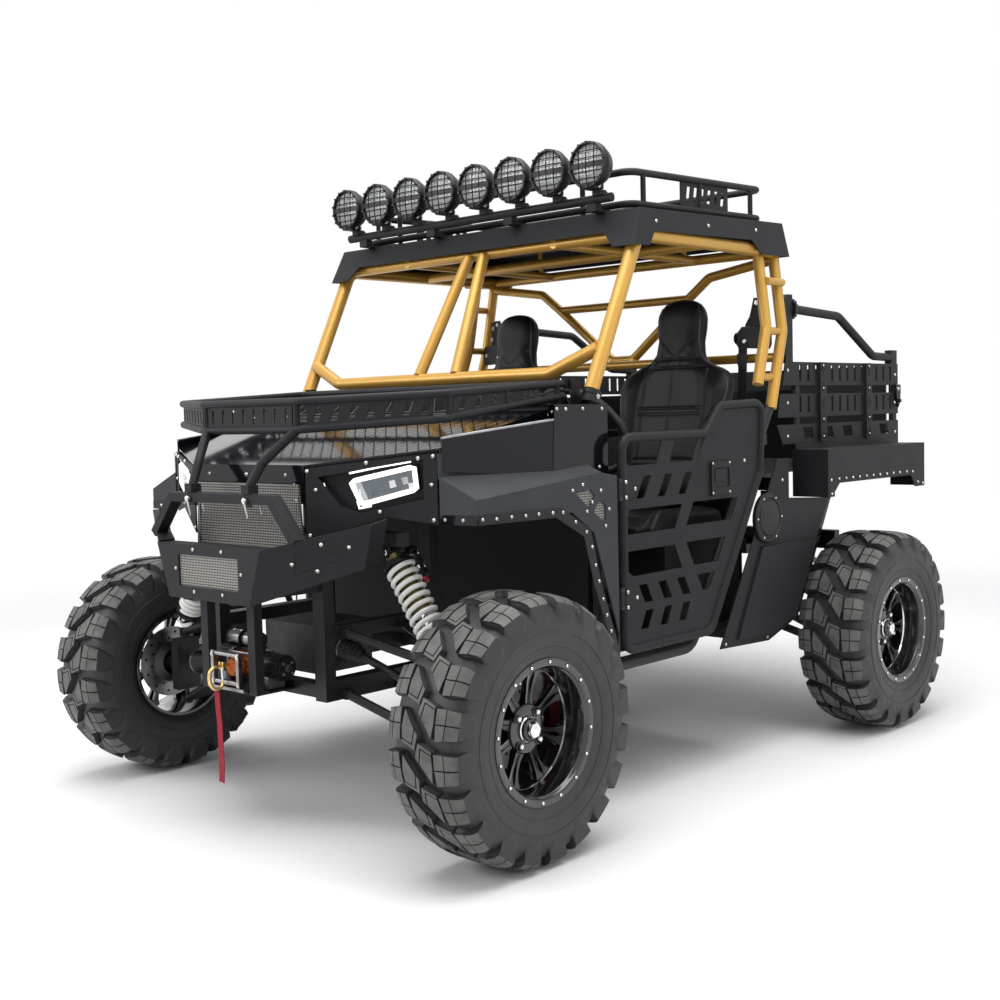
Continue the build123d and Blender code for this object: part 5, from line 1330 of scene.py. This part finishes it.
def make_winch():
    """The winch: motor, gearbox, ropes on the drum, fairlead, solenoid tubes and tie rods."""
    winch = Shape()
    back, axle_z = WINCH_AXLE
    for low, high, radius, slot in WINCH_ROUNDS:
        across_pin(winch, low, high, back, axle_z, radius, slot, 40)
    for low, high, radius, ribs in WINCH_RIBS:
        for turn in angles(ribs):
            out = around_x(turn)
            aside = ACROSS.cross(out)
            root = at(low, back, axle_z) + out * (radius - 1) / 1000 - aside * 0.0016
            winch.slab([root, root + aside * 0.0032, root + aside * 0.0028 + out * 0.0038,
                        root + aside * 0.0004 + out * 0.0038], ACROSS * (high - low) / 1000, 1)
    # The end caps with their bolts.
    for end, hand in ((178, 1), (-150, -1)):
        middle = at(end, back, axle_z)
        for turn in angles(4, 0.5):
            winch.hexagon(middle + around_x(turn) * 0.022, ACROSS * hand, 0.0035, 0.003, slot=0)
        winch.lathe([(0.012, 0), (0.012, 0.003), (0.0002, 0.004)], middle, ACROSS * hand, 24, slot=0)
    # Two layers of rope on the drum, the outer one crossing the inner.
    for layer, slant in ((0, 1), (1, -1)):
        path = []
        for step in range(DRUM_TURNS * DRUM_STEPS + 1):
            x = slant * (step / (DRUM_TURNS * DRUM_STEPS) * 2 - 1) * DRUM_HALF
            reach = (DRUM_RADIUS + layer * LAYER_RISE) / 1000
            path.append(at(x, back, axle_z) + around_x(tau * step / DRUM_STEPS) * reach)
        winch.tube(path, ROPE_RADIUS, 6, slot=3)
    winch.tube([at(*place) for place in ROPE_END], ROPE_RADIUS, 8, slot=3)
    winch.lathe(metres(ROPE_COIL), at(10, -330.5, 497), REARWARD, 30, slot=3, caps=True)
    # Feet, and the fairlead's frame with its rollers.
    for low in (-120, 70):
        winch.brick(at(low, -275, 430.5), at(low + 50, -215, 469), slot=0, bevel=0.003)
        for place in (-262, -228):
            winch.hexagon(at(low + 25, place, 469), UPWARD, 0.006, 0.005, slot=0)
    for side in SIDES:
        winch.brick(at(side * 63 - 7, -345, 440), at(side * 63 + 7, -331, 545), slot=0, bevel=0.003)
        for z in (452, 534):
            winch.hexagon(at(side * 63, -345, z), -REARWARD, 0.0055, 0.0035, slot=2)
        across_pin(winch, side * 48 - 7, side * 48 + 7, -335, 536, 7.5, 0)
    winch.brick(at(-90, -345, 430.5), at(90, -300.5, 440), slot=0, bevel=0.002)
    for half, bar_back, z, radius, steps in WINCH_BARS:
        across_pin(winch, -half, half, bar_back, z, radius, 0, steps)
    # The solenoid's two bright tubes with their end caps and terminals.
    for x, z in SOLENOIDS:
        across_pin(winch, x - 30, x + 30, -261, z, 23, 0, 36)
        for end in SIDES:
            across_pin(winch, x + end * 31 - 2, x + end * 31 + 2, -261, z, 24.5, 1, 36)
            winch.hexagon(at(x + end * 18, -261, z + 22), UPWARD, 0.005, 0.003, slot=2)
        winch.brick(at(x - 29, -288, 549), at(x + 29, -234, 553), slot=1)
    winch.brick(at(-66, -262, 535.5), at(66, -240, 549), slot=1)
    winch.piece("winch_look", ("machined_and_edge_highlight", "lamp_plastic", "bolt_steel", "rope_orange"),
                slot="winch_metal", replaces=("winch",), sharp=30)


HOOK_WIRE = ((-352, 505), (-375, 505), (-388, 501), (-398, 490), (-400, 472), (-397, 456), (-388, 443),
             (-375, 437), (-362, 440), (-354, 449), (-351, 462))


def smooth_path(points, steps=4):
    """Points along a smooth curve through the given ones."""
    path = []
    ends = [points[0] * 2 - points[1]] + list(points) + [points[-1] * 2 - points[-2]]
    for before, here, after, beyond in zip(ends, ends[1:], ends[2:], ends[3:]):
        for step in range(steps):
            t = step / steps
            path.append(((here * 2) + (after - before) * t
                         + (before * 2 - here * 5 + after * 4 - beyond) * t * t
                         + (here * 3 - before - after * 3 + beyond) * t * t * t) / 2)
    return path + [points[-1]]


def make_hook():
    """The gilt tow hook: its swelling wire, its eye and pin, and the latch across its mouth."""
    hook = Shape()
    path = smooth_path([at(0, back, z) for back, z in HOOK_WIRE])
    count = len(path) - 1
    swell = [0.82 + 0.3 * sin(pi * min(1.0, step / count * 1.1)) - 0.25 * max(0, step / count - 0.85) / 0.15
             for step in range(count + 1)]
    hook.tube(path, 0.0056, 14, taper=swell)
    hook.brick(at(-12, -358, 494), at(-5, -345.4, 516), bevel=0.002)
    hook.brick(at(5, -358, 494), at(12, -345.4, 516), bevel=0.002)
    across_pin(hook, -11.8, 11.8, -352, 505, 4.5, 1, 18)
    hook.tube(circle(at(0, -352, 505), ACROSS, UPWARD, 0.0085, 24), 0.0028, 8, closed=True)
    hook.slab([at(-4, -357, 500), at(-4, -354, 462), at(-4, -352.4, 462), at(-4, -354, 500)],
              ACROSS * 0.008, 1)
    hook.piece("hook_look", ("hook_gold", "bolt_steel"), replaces=("winch_hook",))


# The strap's route from the hook down: (across, behind the front axle, height).
STRAP_ROUTE = ((0, -375, 429.8), (0, -375, 395), (4, -372, 335), (-2, -368, 270), (-5, -363, 210),
               (-12, -362, 150))
STRAP_WIDTH = 0.025
STRAP_THICK = 0.003


def route_line(route):
    """Close points along a ribbon's route, and their length."""
    data = bpy.data.curves.new("route_line", "CURVE")
    data.dimensions = "3D"
    data.resolution_u = 12
    spline = data.splines.new("NURBS")
    spline.points.add(len(route) - 1)
    for point, place in zip(spline.points, route):
        point.co = (*at(*place), 1.0)
    spline.order_u = 3
    spline.use_endpoint_u = True
    guide = bpy.data.objects.new("route_line", data)
    line = bpy.data.meshes.new_from_object(guide)
    points = [vertex.co.copy() for vertex in line.vertices]
    bpy.data.objects.remove(guide)
    length = sum((after - before).length for before, after in zip(points, points[1:]))
    return points, length


def ribbon(points, width, thickness):
    """A woven ribbon with rolled hems along a line of points, its width across the vehicle."""
    strap = Shape()
    half, thick = width / 2, thickness / 2
    hemmed = ((-half, 0), (-half * 0.96, thick), (-half * 0.8, thick * 0.75), (half * 0.8, thick * 0.75),
              (half * 0.96, thick), (half, 0), (half * 0.96, -thick), (half * 0.8, -thick * 0.75),
              (-half * 0.8, -thick * 0.75), (-half * 0.96, -thick))
    rings = []
    count = len(points) - 1
    for place, point in enumerate(points):
        along = (points[min(place + 1, count)] - points[max(place - 1, 0)]).normalized()
        wide = (ACROSS - along * ACROSS.dot(along)).normalized()
        out = along.cross(wide)
        rings.append([point + wide * across + out * up for across, up in hemmed])
    strap.rings(rings)
    return strap


def make_strap():
    """The woven pull strap: one ribbon from the hook to its cut end."""
    points, length = route_line(STRAP_ROUTE)
    piece = ribbon(points, STRAP_WIDTH, STRAP_THICK).piece(
        "pull_strap_look", ("strap_red",), body=body_of(frame["nodes"]["pull_strap"])[0],
        replaces=("pull_strap",), sharp=60)
    tuple(points[0])
    [tuple(point) for point in points]


make_winch()
make_hook()
make_strap()


# -------------------------------------------------------------------- covers and brackets
COWL_COVER = ((352, 1259), (604, 1256), (602, 1024), (500, 1040), (338, 1052))
COWL_BOLTS = ((361, 1248), (402, 1247), (483, 1247), (576, 1246), (559, 1066))
COWL_COVER_X = 728
# The hood's side panel: (across, behind the axle, height).
HOOD_PANEL = ((650, -46, 1174), (727, 354, 1217), (727, 342, 1050), (650, -46, 1080))
# The strip on the front edge of each flare: (across, height), and its bolts.
LIP_STRIP = ((655, 959), (797, 962), (797, 934), (655, 932))
LIP_BOLTS = ((673, 946), (744, 947))
LIP_BACK = -60.4
COWL_TOP = ((676, 352, 1259), (676, 604, 1256), (731, 604, 1256), (731, 352, 1259))
# The clamp round the cage's foot, from its lower end: (radius, distance along).
CLAMP = ((25.5, 0), (29, 3), (29, 16), (26.5, 19), (26.5, 27), (29, 30), (29, 43), (25.5, 46))
# A quick pin's ball head.
PIN_HEAD = ((4.5, -4), (4.5, 3), (9, 3.5), (10.5, 9), (9, 14.5), (4, 17.5), (0.2, 18))
# The octagonal flange of each grab tube: its corners as shares of its size, its centre and size.
FLANGE = ((0.95, 0.42), (0.42, 0.95), (-0.42, 0.95), (-0.95, 0.42), (-0.95, -0.42), (-0.42, -0.95),
          (0.42, -0.95), (0.95, -0.42))
FLANGE_CENTRE = (685, 1777, 1603)
FLANGE_WIDE, FLANGE_HIGH = 0.030, 0.040
# The latch at the tailgate's corner: (behind the axle, height).
LATCH = ((2588, 1318), (2630, 1318), (2632, 1290), (2626, 1240), (2612, 1222), (2600, 1240), (2592, 1290))
# The bed's posts with their oval holes, drawn as dark ovals of painted shade: each post's front, and each
# hole's height.
POST_FRONTS = (1959, 2331)
POST_HOLES = (1372, 1310, 1248, 1186, 1124)


def oval(centre, wide, high, outward, steps=20):
    """The outline of an upright oval that faces outward."""
    across = outward.cross(UPWARD)
    return [centre + across * (wide * cos(turn)) + UPWARD * (high * sin(turn)) for turn in angles(steps)]


def make_covers():
    """The cowl's side covers, the strips on the flares' front edges, and the cage's foot clamps."""
    covers = Shape()
    for side in SIDES:
        outward = ACROSS * side
        covers.slab([at(side * COWL_COVER_X, back, z) for back, z in COWL_COVER], outward * 0.003)
        covers.slab([at(side * x, back, z) for x, back, z in COWL_TOP], UPWARD * 0.003)
        # The hood's side panel, which runs outward to the cover's front edge, and its rolled lip in pale
        # machined metal, a painted highlight along the panel's top edge.
        panel = [at(side * x, back, z) for x, back, z in HOOD_PANEL]
        covers.slab(panel, Vector((side * 0.0025, -0.0008, 0)))
        covers.tube([panel[0], panel[1]], 0.0042, 10, slot=3)
        for back, z in COWL_BOLTS:
            covers.button(at(side * (COWL_COVER_X + 3), back, z), outward, 0.006, 1)
        covers.slab([at(side * x, LIP_BACK, z) for x, z in LIP_STRIP], -REARWARD * 0.0006)
        for x, z in LIP_BOLTS:
            covers.button(at(side * x, LIP_BACK - 0.6, z), -REARWARD, 0.0055, 1)
        foot, head = at(side * 700, 553, 1262), at(side * 700, 571, 1304)
        covers.lathe(metres(CLAMP), foot, head - foot, 30, slot=2)
        covers.hexagon(at(side * 728.5, 562, 1284), outward, 0.006, 0.005, 1)
    covers.piece("covers", ("gloss_black", "bolt_steel", "lamp_plastic", "machined_and_edge_highlight"), sharp=30)


def hoop_pin(shape, side):
    """A clamp on the bumper's hoop, with its ball-headed quick pin, clip and lanyard."""
    x = side * 144
    shape.brick(at(x - 20, -344, 984), at(x + 20, -341.6, 1030), bevel=0.001)
    head, clip = at(x, -345, 1004), at(x + 44, -330, 1000)
    shape.lathe(metres(PIN_HEAD), head, -REARWARD, 20, slot=1)
    for start, radius, steps in (
        (head, 0.0021, ((2, -10, -8), (6, -10, -26), (10, -9, -46), (8, -8, -52))),
        (head, 0.0016, ((-3, -10, -8), (2, -10, -24), (9, -9, -44))),
        (clip, 0.0017, ((-2, 0, 10), (0, -4, -2), (3, -3, -20), (5, -1, -34))),
    ):
        shape.tube([start + Vector(step) / 1000 for step in steps], radius, 8, slot=1)


def make_hoop_pins():
    """Both quick pins of the rack's front legs, where they stand on the bumper's hoop."""
    pins = Shape()
    for side in SIDES:
        hoop_pin(pins, side)
    pins.piece("hoop_pins", ("frame_black", "bolt_steel"), sharp=40)


def make_bed_details():
    """Flanges of the grab tubes, the posts' oval holes as painted shade, and the tailgate's corner latches.
    """
    details = Shape()
    body = body_of(frame["nodes"]["bed_rails"])[0]
    for side in SIDES:
        outward = ACROSS * side
        x, back, z = FLANGE_CENTRE
        centre = at(side * x, back, z)
        outline = [centre + Vector((u * FLANGE_WIDE, 0, v * FLANGE_HIGH)) for u, v in FLANGE]
        details.slab(outline, REARWARD * 0.016, bevel=0.002)
        for u, v in ((1, 1), (-1, 1), (1, -1), (-1, -1)):
            details.hexagon(centre + Vector((u * 0.0182, 0.016, v * 0.0252)), REARWARD, 0.004, 0.003, slot=2)
        for front in POST_FRONTS:
            for height in POST_HOLES:
                place = at(side * 712.2, front + 23, height)
                details.slab(oval(place, 0.011, 0.018, outward), outward * 0.0006, slot=1)
        details.slab([at(side * 703, back, z) for back, z in LATCH], outward * 0.010, bevel=0.002)
        details.hexagon(at(side * 713, 2608, 1300), outward, 0.006, 0.004, slot=2)
        details.rod(at(side * 713, 2612, 1250), at(side * 722, 2612, 1250), 0.008, 16, slot=0)
    details.piece("bed_details", ("lamp_plastic", "hole_shade_and_dial_black", "bolt_steel"), body=body, sharp=35)


# A reel's bracket and its case, seen from the front: (across, height).
REEL_BRACKET = ((664, 1640), (690, 1632), (694, 1470), (600, 1462), (588, 1500), (604, 1546), (622, 1574),
                (640, 1640))
REEL_CASE = ((590, 1458), (706, 1450), (714, 1466), (714, 1512), (700, 1532), (606, 1536), (584, 1512),
             (582, 1472))
BELT_TONGUE = ((-21, 1436), (21, 1436), (21, 1404), (12, 1372), (-12, 1372), (-21, 1404))
REEL_BOLTS = ((652, 1599.5, 1622), (676, 1599.5, 1608), (684, 1599.5, 1560), (620, 1567, 1480),
              (690, 1567, 1490))
# Each belt's webbing runs from its reel down to the frame rail behind the seat: (behind, height).
WEBBING = ((1578, 1500), (1564, 1484), (1560, 1420), (1556, 1330), (1550, 1236), (1542, 1160), (1541, 1139))
WEBBING_ACROSS, WEBBING_WIDTH, WEBBING_THICK = 616, 0.038, 0.0016


def make_belt_reels():
    """The belts' reels on the rear posts, with their brackets, webbing and tongues."""
    reels = Shape()
    for side in SIDES:
        reels.slab([at(side * x, 1600, z) for x, z in REEL_BRACKET], REARWARD * 0.007, bevel=0.001)
        reels.slab([at(side * x, 1567, z) for x, z in REEL_CASE], REARWARD * 0.042, bevel=0.005)
        across_pin(reels, side * 584, side * 574, 1588, 1494, 22, 0, 28)
        across_pin(reels, side * 574, side * 571, 1588, 1494, 12, 1, 28)
        for x, back, z in REEL_BOLTS:
            reels.hexagon(at(side * x, back, z), -REARWARD, 0.0065, 0.005, slot=1)
        points, length = route_line([(side * WEBBING_ACROSS, back, z) for back, z in WEBBING])
        webbing_name = "belt_webbing_left" if side > 0 else "belt_webbing_right"
        webbing = ribbon(points, WEBBING_WIDTH, WEBBING_THICK).piece(
            webbing_name, ("webbing",), slot="dash_plastic", sharp=60)
        tuple(points[0])
        [tuple(point) for point in points]
        reels.slab([at(side * WEBBING_ACROSS + x, 1559, z) for x, z in BELT_TONGUE],
                   -REARWARD * 0.005, bevel=0.001)
    reels.piece("belt_reels_look", ("lamp_plastic", "bolt_steel"), slot="dash_plastic",
                replaces=("belt_reels",), sharp=35)


# -------------------------------------------------------------------- drive and brakes
# Half shafts: inner end (across, behind the front axle, height), then the outer end.
SHAFTS = ((110, 20, 528, 655, 0, 387), (110, 2065, 538, 690, 2065, 385))
BOOT_RINGS = 6
BOOT_LENGTH, BOOT_WIDE, BOOT_NARROW = 0.085, 0.04, 0.019


def boot(shape, start, axis, length, wide, narrow):
    """A ribbed rubber boot that narrows along its shaft, with a steel band at each end."""
    profile = [(wide * 0.9, 0), (wide, 0.003)]
    for ring in range(BOOT_RINGS):
        share = ring / BOOT_RINGS
        radius = wide + (narrow - wide) * share
        profile += [(radius * 1.02, 0.006 + length * share), (radius * 0.8, 0.006 + length * (share + 0.09))]
    profile.append((narrow * 0.8, 0.006 + length))
    shape.lathe(profile, start, axis, 28, slot=0)
    shape.lathe([(wide * 1.01, 0.001), (wide * 1.04, 0.002), (wide * 1.04, 0.006), (wide * 1.01, 0.007)],
                start, axis, 28, slot=1)


def make_boots():
    """Ribbed boots at both ends of every half shaft."""
    boots = Shape()
    for x_in, back_in, z_in, x_out, back_out, z_out in SHAFTS:
        for side in SIDES:
            inner, outer = at(side * x_in, back_in, z_in), at(side * x_out, back_out, z_out)
            axis = (outer - inner).normalized()
            boot(boots, inner + axis * 0.022, axis, BOOT_LENGTH, BOOT_WIDE, BOOT_NARROW)
            boot(boots, outer - axis * 0.008, -axis, BOOT_LENGTH, BOOT_WIDE, BOOT_NARROW)
    boots.piece("boots", ("boot_rubber", "machined_and_edge_highlight"), slot="tyre_rubber", sharp=50)


make_covers()
make_hoop_pins()
make_bed_details()
make_belt_reels()
make_boots()


# ------------------------------------------------------------------ dashboard and controls
STEERING_CENTRE = (410, 870, 1170)
STEERING_TILT = radians(35)
WHEEL_RADIUS = 0.175
GRIP_STEPS, GRIP_WAVES = 96, 24
HUB = ((44, -21), (46, -12), (44, -3), (36, 2), (0.2, 3.5))


def dial_frame():
    """The wheel's centre, its axle towards the driver, and the directions across and up its face."""
    axle = around_x(STEERING_TILT)
    return at(*STEERING_CENTRE), axle, ACROSS, axle.cross(ACROSS).normalized()


def make_steering_wheel():
    """The wheel's grip with its finger waves, three dished spokes, and a padded hub."""
    wheel = Shape()
    centre, axle, across, up = dial_frame()
    grip = circle(centre, across, up, WHEEL_RADIUS, GRIP_STEPS)
    swell = [1 + 0.035 * cos(GRIP_WAVES * turn) for turn in angles(GRIP_STEPS)]
    wheel.tube(grip, 0.0138, 12, closed=True, taper=swell)
    for angle in (0, pi, -pi / 2):
        reach = across * cos(angle) + up * sin(angle)
        beside = axle.cross(reach)
        inner, outer = centre + reach * 0.03 - axle * 0.014, centre + reach * 0.166 - axle * 0.004
        wheel.slab([inner - beside * 0.019, outer - beside * 0.012, outer + beside * 0.012,
                    inner + beside * 0.019], -axle * 0.008, slot=1, bevel=0.002)
        for share in (0.35, 0.6):
            wheel.lathe([(0.0065, 0), (0.0065, 0.0012), (0.005, 0.0016)],
                        inner.lerp(outer, share), axle, 16, slot=2, caps=True)
    wheel.lathe(metres(HUB), centre, axle, 40, slot=1)
    for place in circle(centre + axle * 0.0018, across, up, 0.034, 6):
        wheel.button(place, axle, 0.0035, 2)
    wheel.piece("steering_wheel_look", ("boot_rubber", "lamp_plastic", "bolt_steel"),
                body=body_of(frame["nodes"]["steering_wheel"])[0], slot="dash_plastic",
                replaces=("steering_wheel",), sharp=40)


def dash_surface():
    """A search tree over the dashboard alone."""
    dash = frame["nodes"]["dashboard"]
    points = [dash.matrix_world @ vertex.co for vertex in dash.data.vertices]
    return BVHTree.FromPolygons(points, [list(polygon.vertices) for polygon in dash.data.polygons])


dash_tree = dash_surface()
# Round dials, rocker switches and air vents: (across, height).
DIALS = ((330, 1186), (410, 1188), (490, 1186))
SWITCHES = ((-150, 1195), (-118, 1195), (-86, 1195), (-54, 1195), (-22, 1195), (10, 1195))
VENTS = ((-560, 1190), (-300, 1190), (150, 1190), (580, 1190))
# A dial's bezel and its face: (radius, distance from the dashboard).
BEZEL = ((34, -1), (34, 6), (31, 9), (29, 5))
DIAL_FACE = ((29, 4.5), (0.2, 4.5))
DIAL_MARK = ((1.4, 0), (1.4, 0.4), (0.2, 0.4))
DIAL_START, DIAL_STEP, DIAL_MARKS = -40, 32.5, 9
VENT_BLADES, BLADE_PITCH = 5, 0.0098


def on_dash(x, z):
    """A point on the dashboard's face towards the seats, and the face's normal there."""
    hit, normal, _, _ = dash_tree.ray_cast(at(x, 1100, z), -REARWARD, 1.0)
    return hit, normal


def places_on_dash(places):
    """Where things sit on the dashboard: each point, its normal, and the way up the face."""
    for x, z in places:
        hit, normal = on_dash(x, z)
        if hit is not None:
            yield hit, normal, normal.cross(ACROSS).normalized()


def upright_panel(middle, up, half_width, half_height):
    """A rectangle's corners about a point, across the vehicle and up a face."""
    return [middle + ACROSS * (u * half_width) + up * (v * half_height)
            for u, v in ((-1, -1), (1, -1), (1, 1), (-1, 1))]


def make_dash_trim():
    """Dials with blank faces, rocker switches, air vents and a grab bar."""
    trim = Shape()
    for hit, normal, _ in places_on_dash(DIALS):
        trim.lathe(metres(BEZEL), hit, normal, 32, slot=2)
        trim.lathe(metres(DIAL_FACE), hit, normal, 32, slot=3)
        first, second = frame_about(normal)
        for mark in range(DIAL_MARKS):
            turn = radians(DIAL_START + mark * DIAL_STEP)
            place = hit + normal * 0.0047 + (first * cos(turn) + second * sin(turn)) * 0.023
            trim.lathe(metres(DIAL_MARK), place, normal, 8, slot=4)
        needle = hit + normal * 0.0055
        trim.rod(needle, needle + second * 0.018, 0.0008, 6, slot=5)
    for hit, normal, up in places_on_dash(SWITCHES):
        trim.slab(upright_panel(hit, up, 0.011, 0.019), normal * 0.004, slot=2, bevel=0.001)
        # Each rocker stands a little higher at its top edge.
        rocker = upright_panel(hit + normal * 0.0042, up, 0.0085, 0.016)
        tipped = [corner + normal * lift for corner, lift in zip(rocker, (0, 0, 0.003, 0.003))]
        trim.slab(tipped, normal * 0.002, slot=0)
    for hit, normal, up in places_on_dash(VENTS):
        trim.tube(upright_panel(hit, up, 0.06, 0.028), 0.004, 8, slot=2, closed=True)
        for blade in range(VENT_BLADES):
            middle = hit + up * (blade - 2) * BLADE_PITCH + normal * 0.001
            trim.slab(upright_panel(middle, up, 0.056, 0.002), normal * 0.004, slot=2)
    hit, normal = on_dash(-400, 1100)
    if hit is not None:
        grab = ((-0.54, 0.0), (-0.53, 0.04), (-0.40, 0.045), (-0.27, 0.04), (-0.26, 0.0))
        trim.tube([Vector((x, hit.y, hit.z)) + normal * lift for x, lift in grab], 0.011, 12, slot=0)
    trim.piece("dash_trim", ("dash_plastic", "bolt_steel", "lamp_plastic", "hole_shade_and_dial_black", "seat_piping",
                             "caliper_red"), sharp=35)


make_steering_wheel()
make_dash_trim()


# ------------------------------------------------------------------ camera and studio
CAMERA_PLACE = Vector((3.3077, -3.8013, 1.2410))
YAW, PITCH, ROLL = radians(-42.966), radians(-3.756), radians(-1.456)
FOCAL_PIXELS = 1327.94
IMAGE_PIXELS = 1000


def aim_camera():
    """The photograph's camera, solved from the wheels and the symmetry of the vehicle."""
    forward = Vector((sin(YAW) * cos(PITCH), cos(YAW) * cos(PITCH), sin(PITCH)))
    right = forward.cross(UPWARD).normalized()
    up = right.cross(forward)
    across = right * cos(ROLL) + up * sin(ROLL)
    upward = up * cos(ROLL) - right * sin(ROLL)
    data = bpy.data.cameras.new("camera")
    data.sensor_width = 36
    data.lens = FOCAL_PIXELS / IMAGE_PIXELS * data.sensor_width
    data.clip_end = 200
    camera = stood("camera", data)
    turn = Matrix((across, upward, -forward)).transposed().to_4x4()
    camera.matrix_world = Matrix.Translation(CAMERA_PLACE) @ turn
    bpy.context.scene.camera = camera


def soft_box(name, place, aim, width, height, power):
    """A rectangular studio lamp."""
    data = bpy.data.lights.new(name, "AREA")
    data.shape = "RECTANGLE"
    data.size = width
    data.size_y = height
    data.energy = power
    lamp = stood(name, data, place)
    lamp.rotation_euler = (Vector(aim) - Vector(place)).to_track_quat("-Z", "Y").to_euler()


def seen_mask(tree):
    """One for camera, glossy and transmission rays, else zero."""
    path = new_node(tree.nodes, "LightPath")
    mask = path.outputs["Is Camera Ray"]
    for ray in ("Is Glossy Ray", "Is Transmission Ray"):
        mask = combined(tree, "MAXIMUM", mask, path.outputs[ray])
    return mask


def faded(tree, share, first, second, end):
    """Join the node tree's end to one shader that fades into another."""
    mix = new_node(tree.nodes, "MixShader")
    for socket, output in zip(mix.inputs, (share, first, second)):
        tree.links.new(output, socket)
    tree.links.new(mix.outputs["Shader"], tree.nodes[end].inputs["Surface"])


def light_world():
    """Soft studio light, with a white backdrop where the camera or a gloss sees past the floor."""
    world = bpy.data.worlds.new("studio")
    world.use_nodes = True
    bpy.context.scene.world = world
    tree = world.node_tree
    soft = tree.nodes["Background"]
    soft.inputs["Color"].default_value = (0.97, 0.985, 1.0, 1.0)
    soft.inputs["Strength"].default_value = 0.45
    backdrop = new_node(tree.nodes, "Background", Color=(1, 1, 1, 1), Strength=1.0)
    faded(tree, seen_mask(tree), soft.outputs[0], backdrop.outputs[0], "World Output")


FLOOR_REACH = 60
FLOOR_NEAR, FLOOR_FAR = 2.6, 6.5


def lay_floor():
    """A pale floor that keeps the shadow near the vehicle and turns into the backdrop far off."""
    material = bpy.data.materials.new("studio_floor")
    material.use_nodes = True
    tree = material.node_tree
    shader = tree.nodes["Principled BSDF"]
    shader.inputs["Base Color"].default_value = (0.93, 0.93, 0.93, 1)
    shader.inputs["Roughness"].default_value = 0.6
    shader.inputs["Specular IOR Level"].default_value = 0.2
    length = new_node(tree.nodes, "VectorMath")
    length.operation = "LENGTH"
    tree.links.new(new_node(tree.nodes, "TexCoord").outputs["Object"], length.inputs[0])
    fade = new_node(tree.nodes, "MapRange", From_Min=FLOOR_NEAR, From_Max=FLOOR_FAR)
    fade.interpolation_type = "SMOOTHSTEP"
    tree.links.new(length.outputs["Value"], fade.inputs["Value"])
    glow = new_node(tree.nodes, "Emission", Strength=1.0)
    masked = combined(tree, "MULTIPLY", fade.outputs["Result"], seen_mask(tree))
    faded(tree, masked, shader.outputs["BSDF"], glow.outputs["Emission"], "Material Output")
    mesh = bpy.data.meshes.new("studio_floor")
    mesh.from_pydata([(x * FLOOR_REACH, y * FLOOR_REACH, 0) for x, y in ((-1, -1), (1, -1), (1, 1), (-1, 1))],
                     [], [(0, 1, 2, 3)])
    mesh.materials.append(material)
    stood("studio_floor", mesh, (0, 0, -0.0005))


aim_camera()
light_world()
lay_floor()
soft_box("top_light", (0.5, -0.5, 5.2), (0, 0, 0.5), 5.5, 5.5, 390)
soft_box("front_light", (-3.4, -5.2, 3.4), (0, -0.6, 0.8), 3.0, 2.2, 120)
soft_box("side_light", (5.6, 0.4, 2.6), (0.4, 0, 0.9), 3.2, 2.2, 28)
bpy.context.scene.view_settings.view_transform = "Standard"
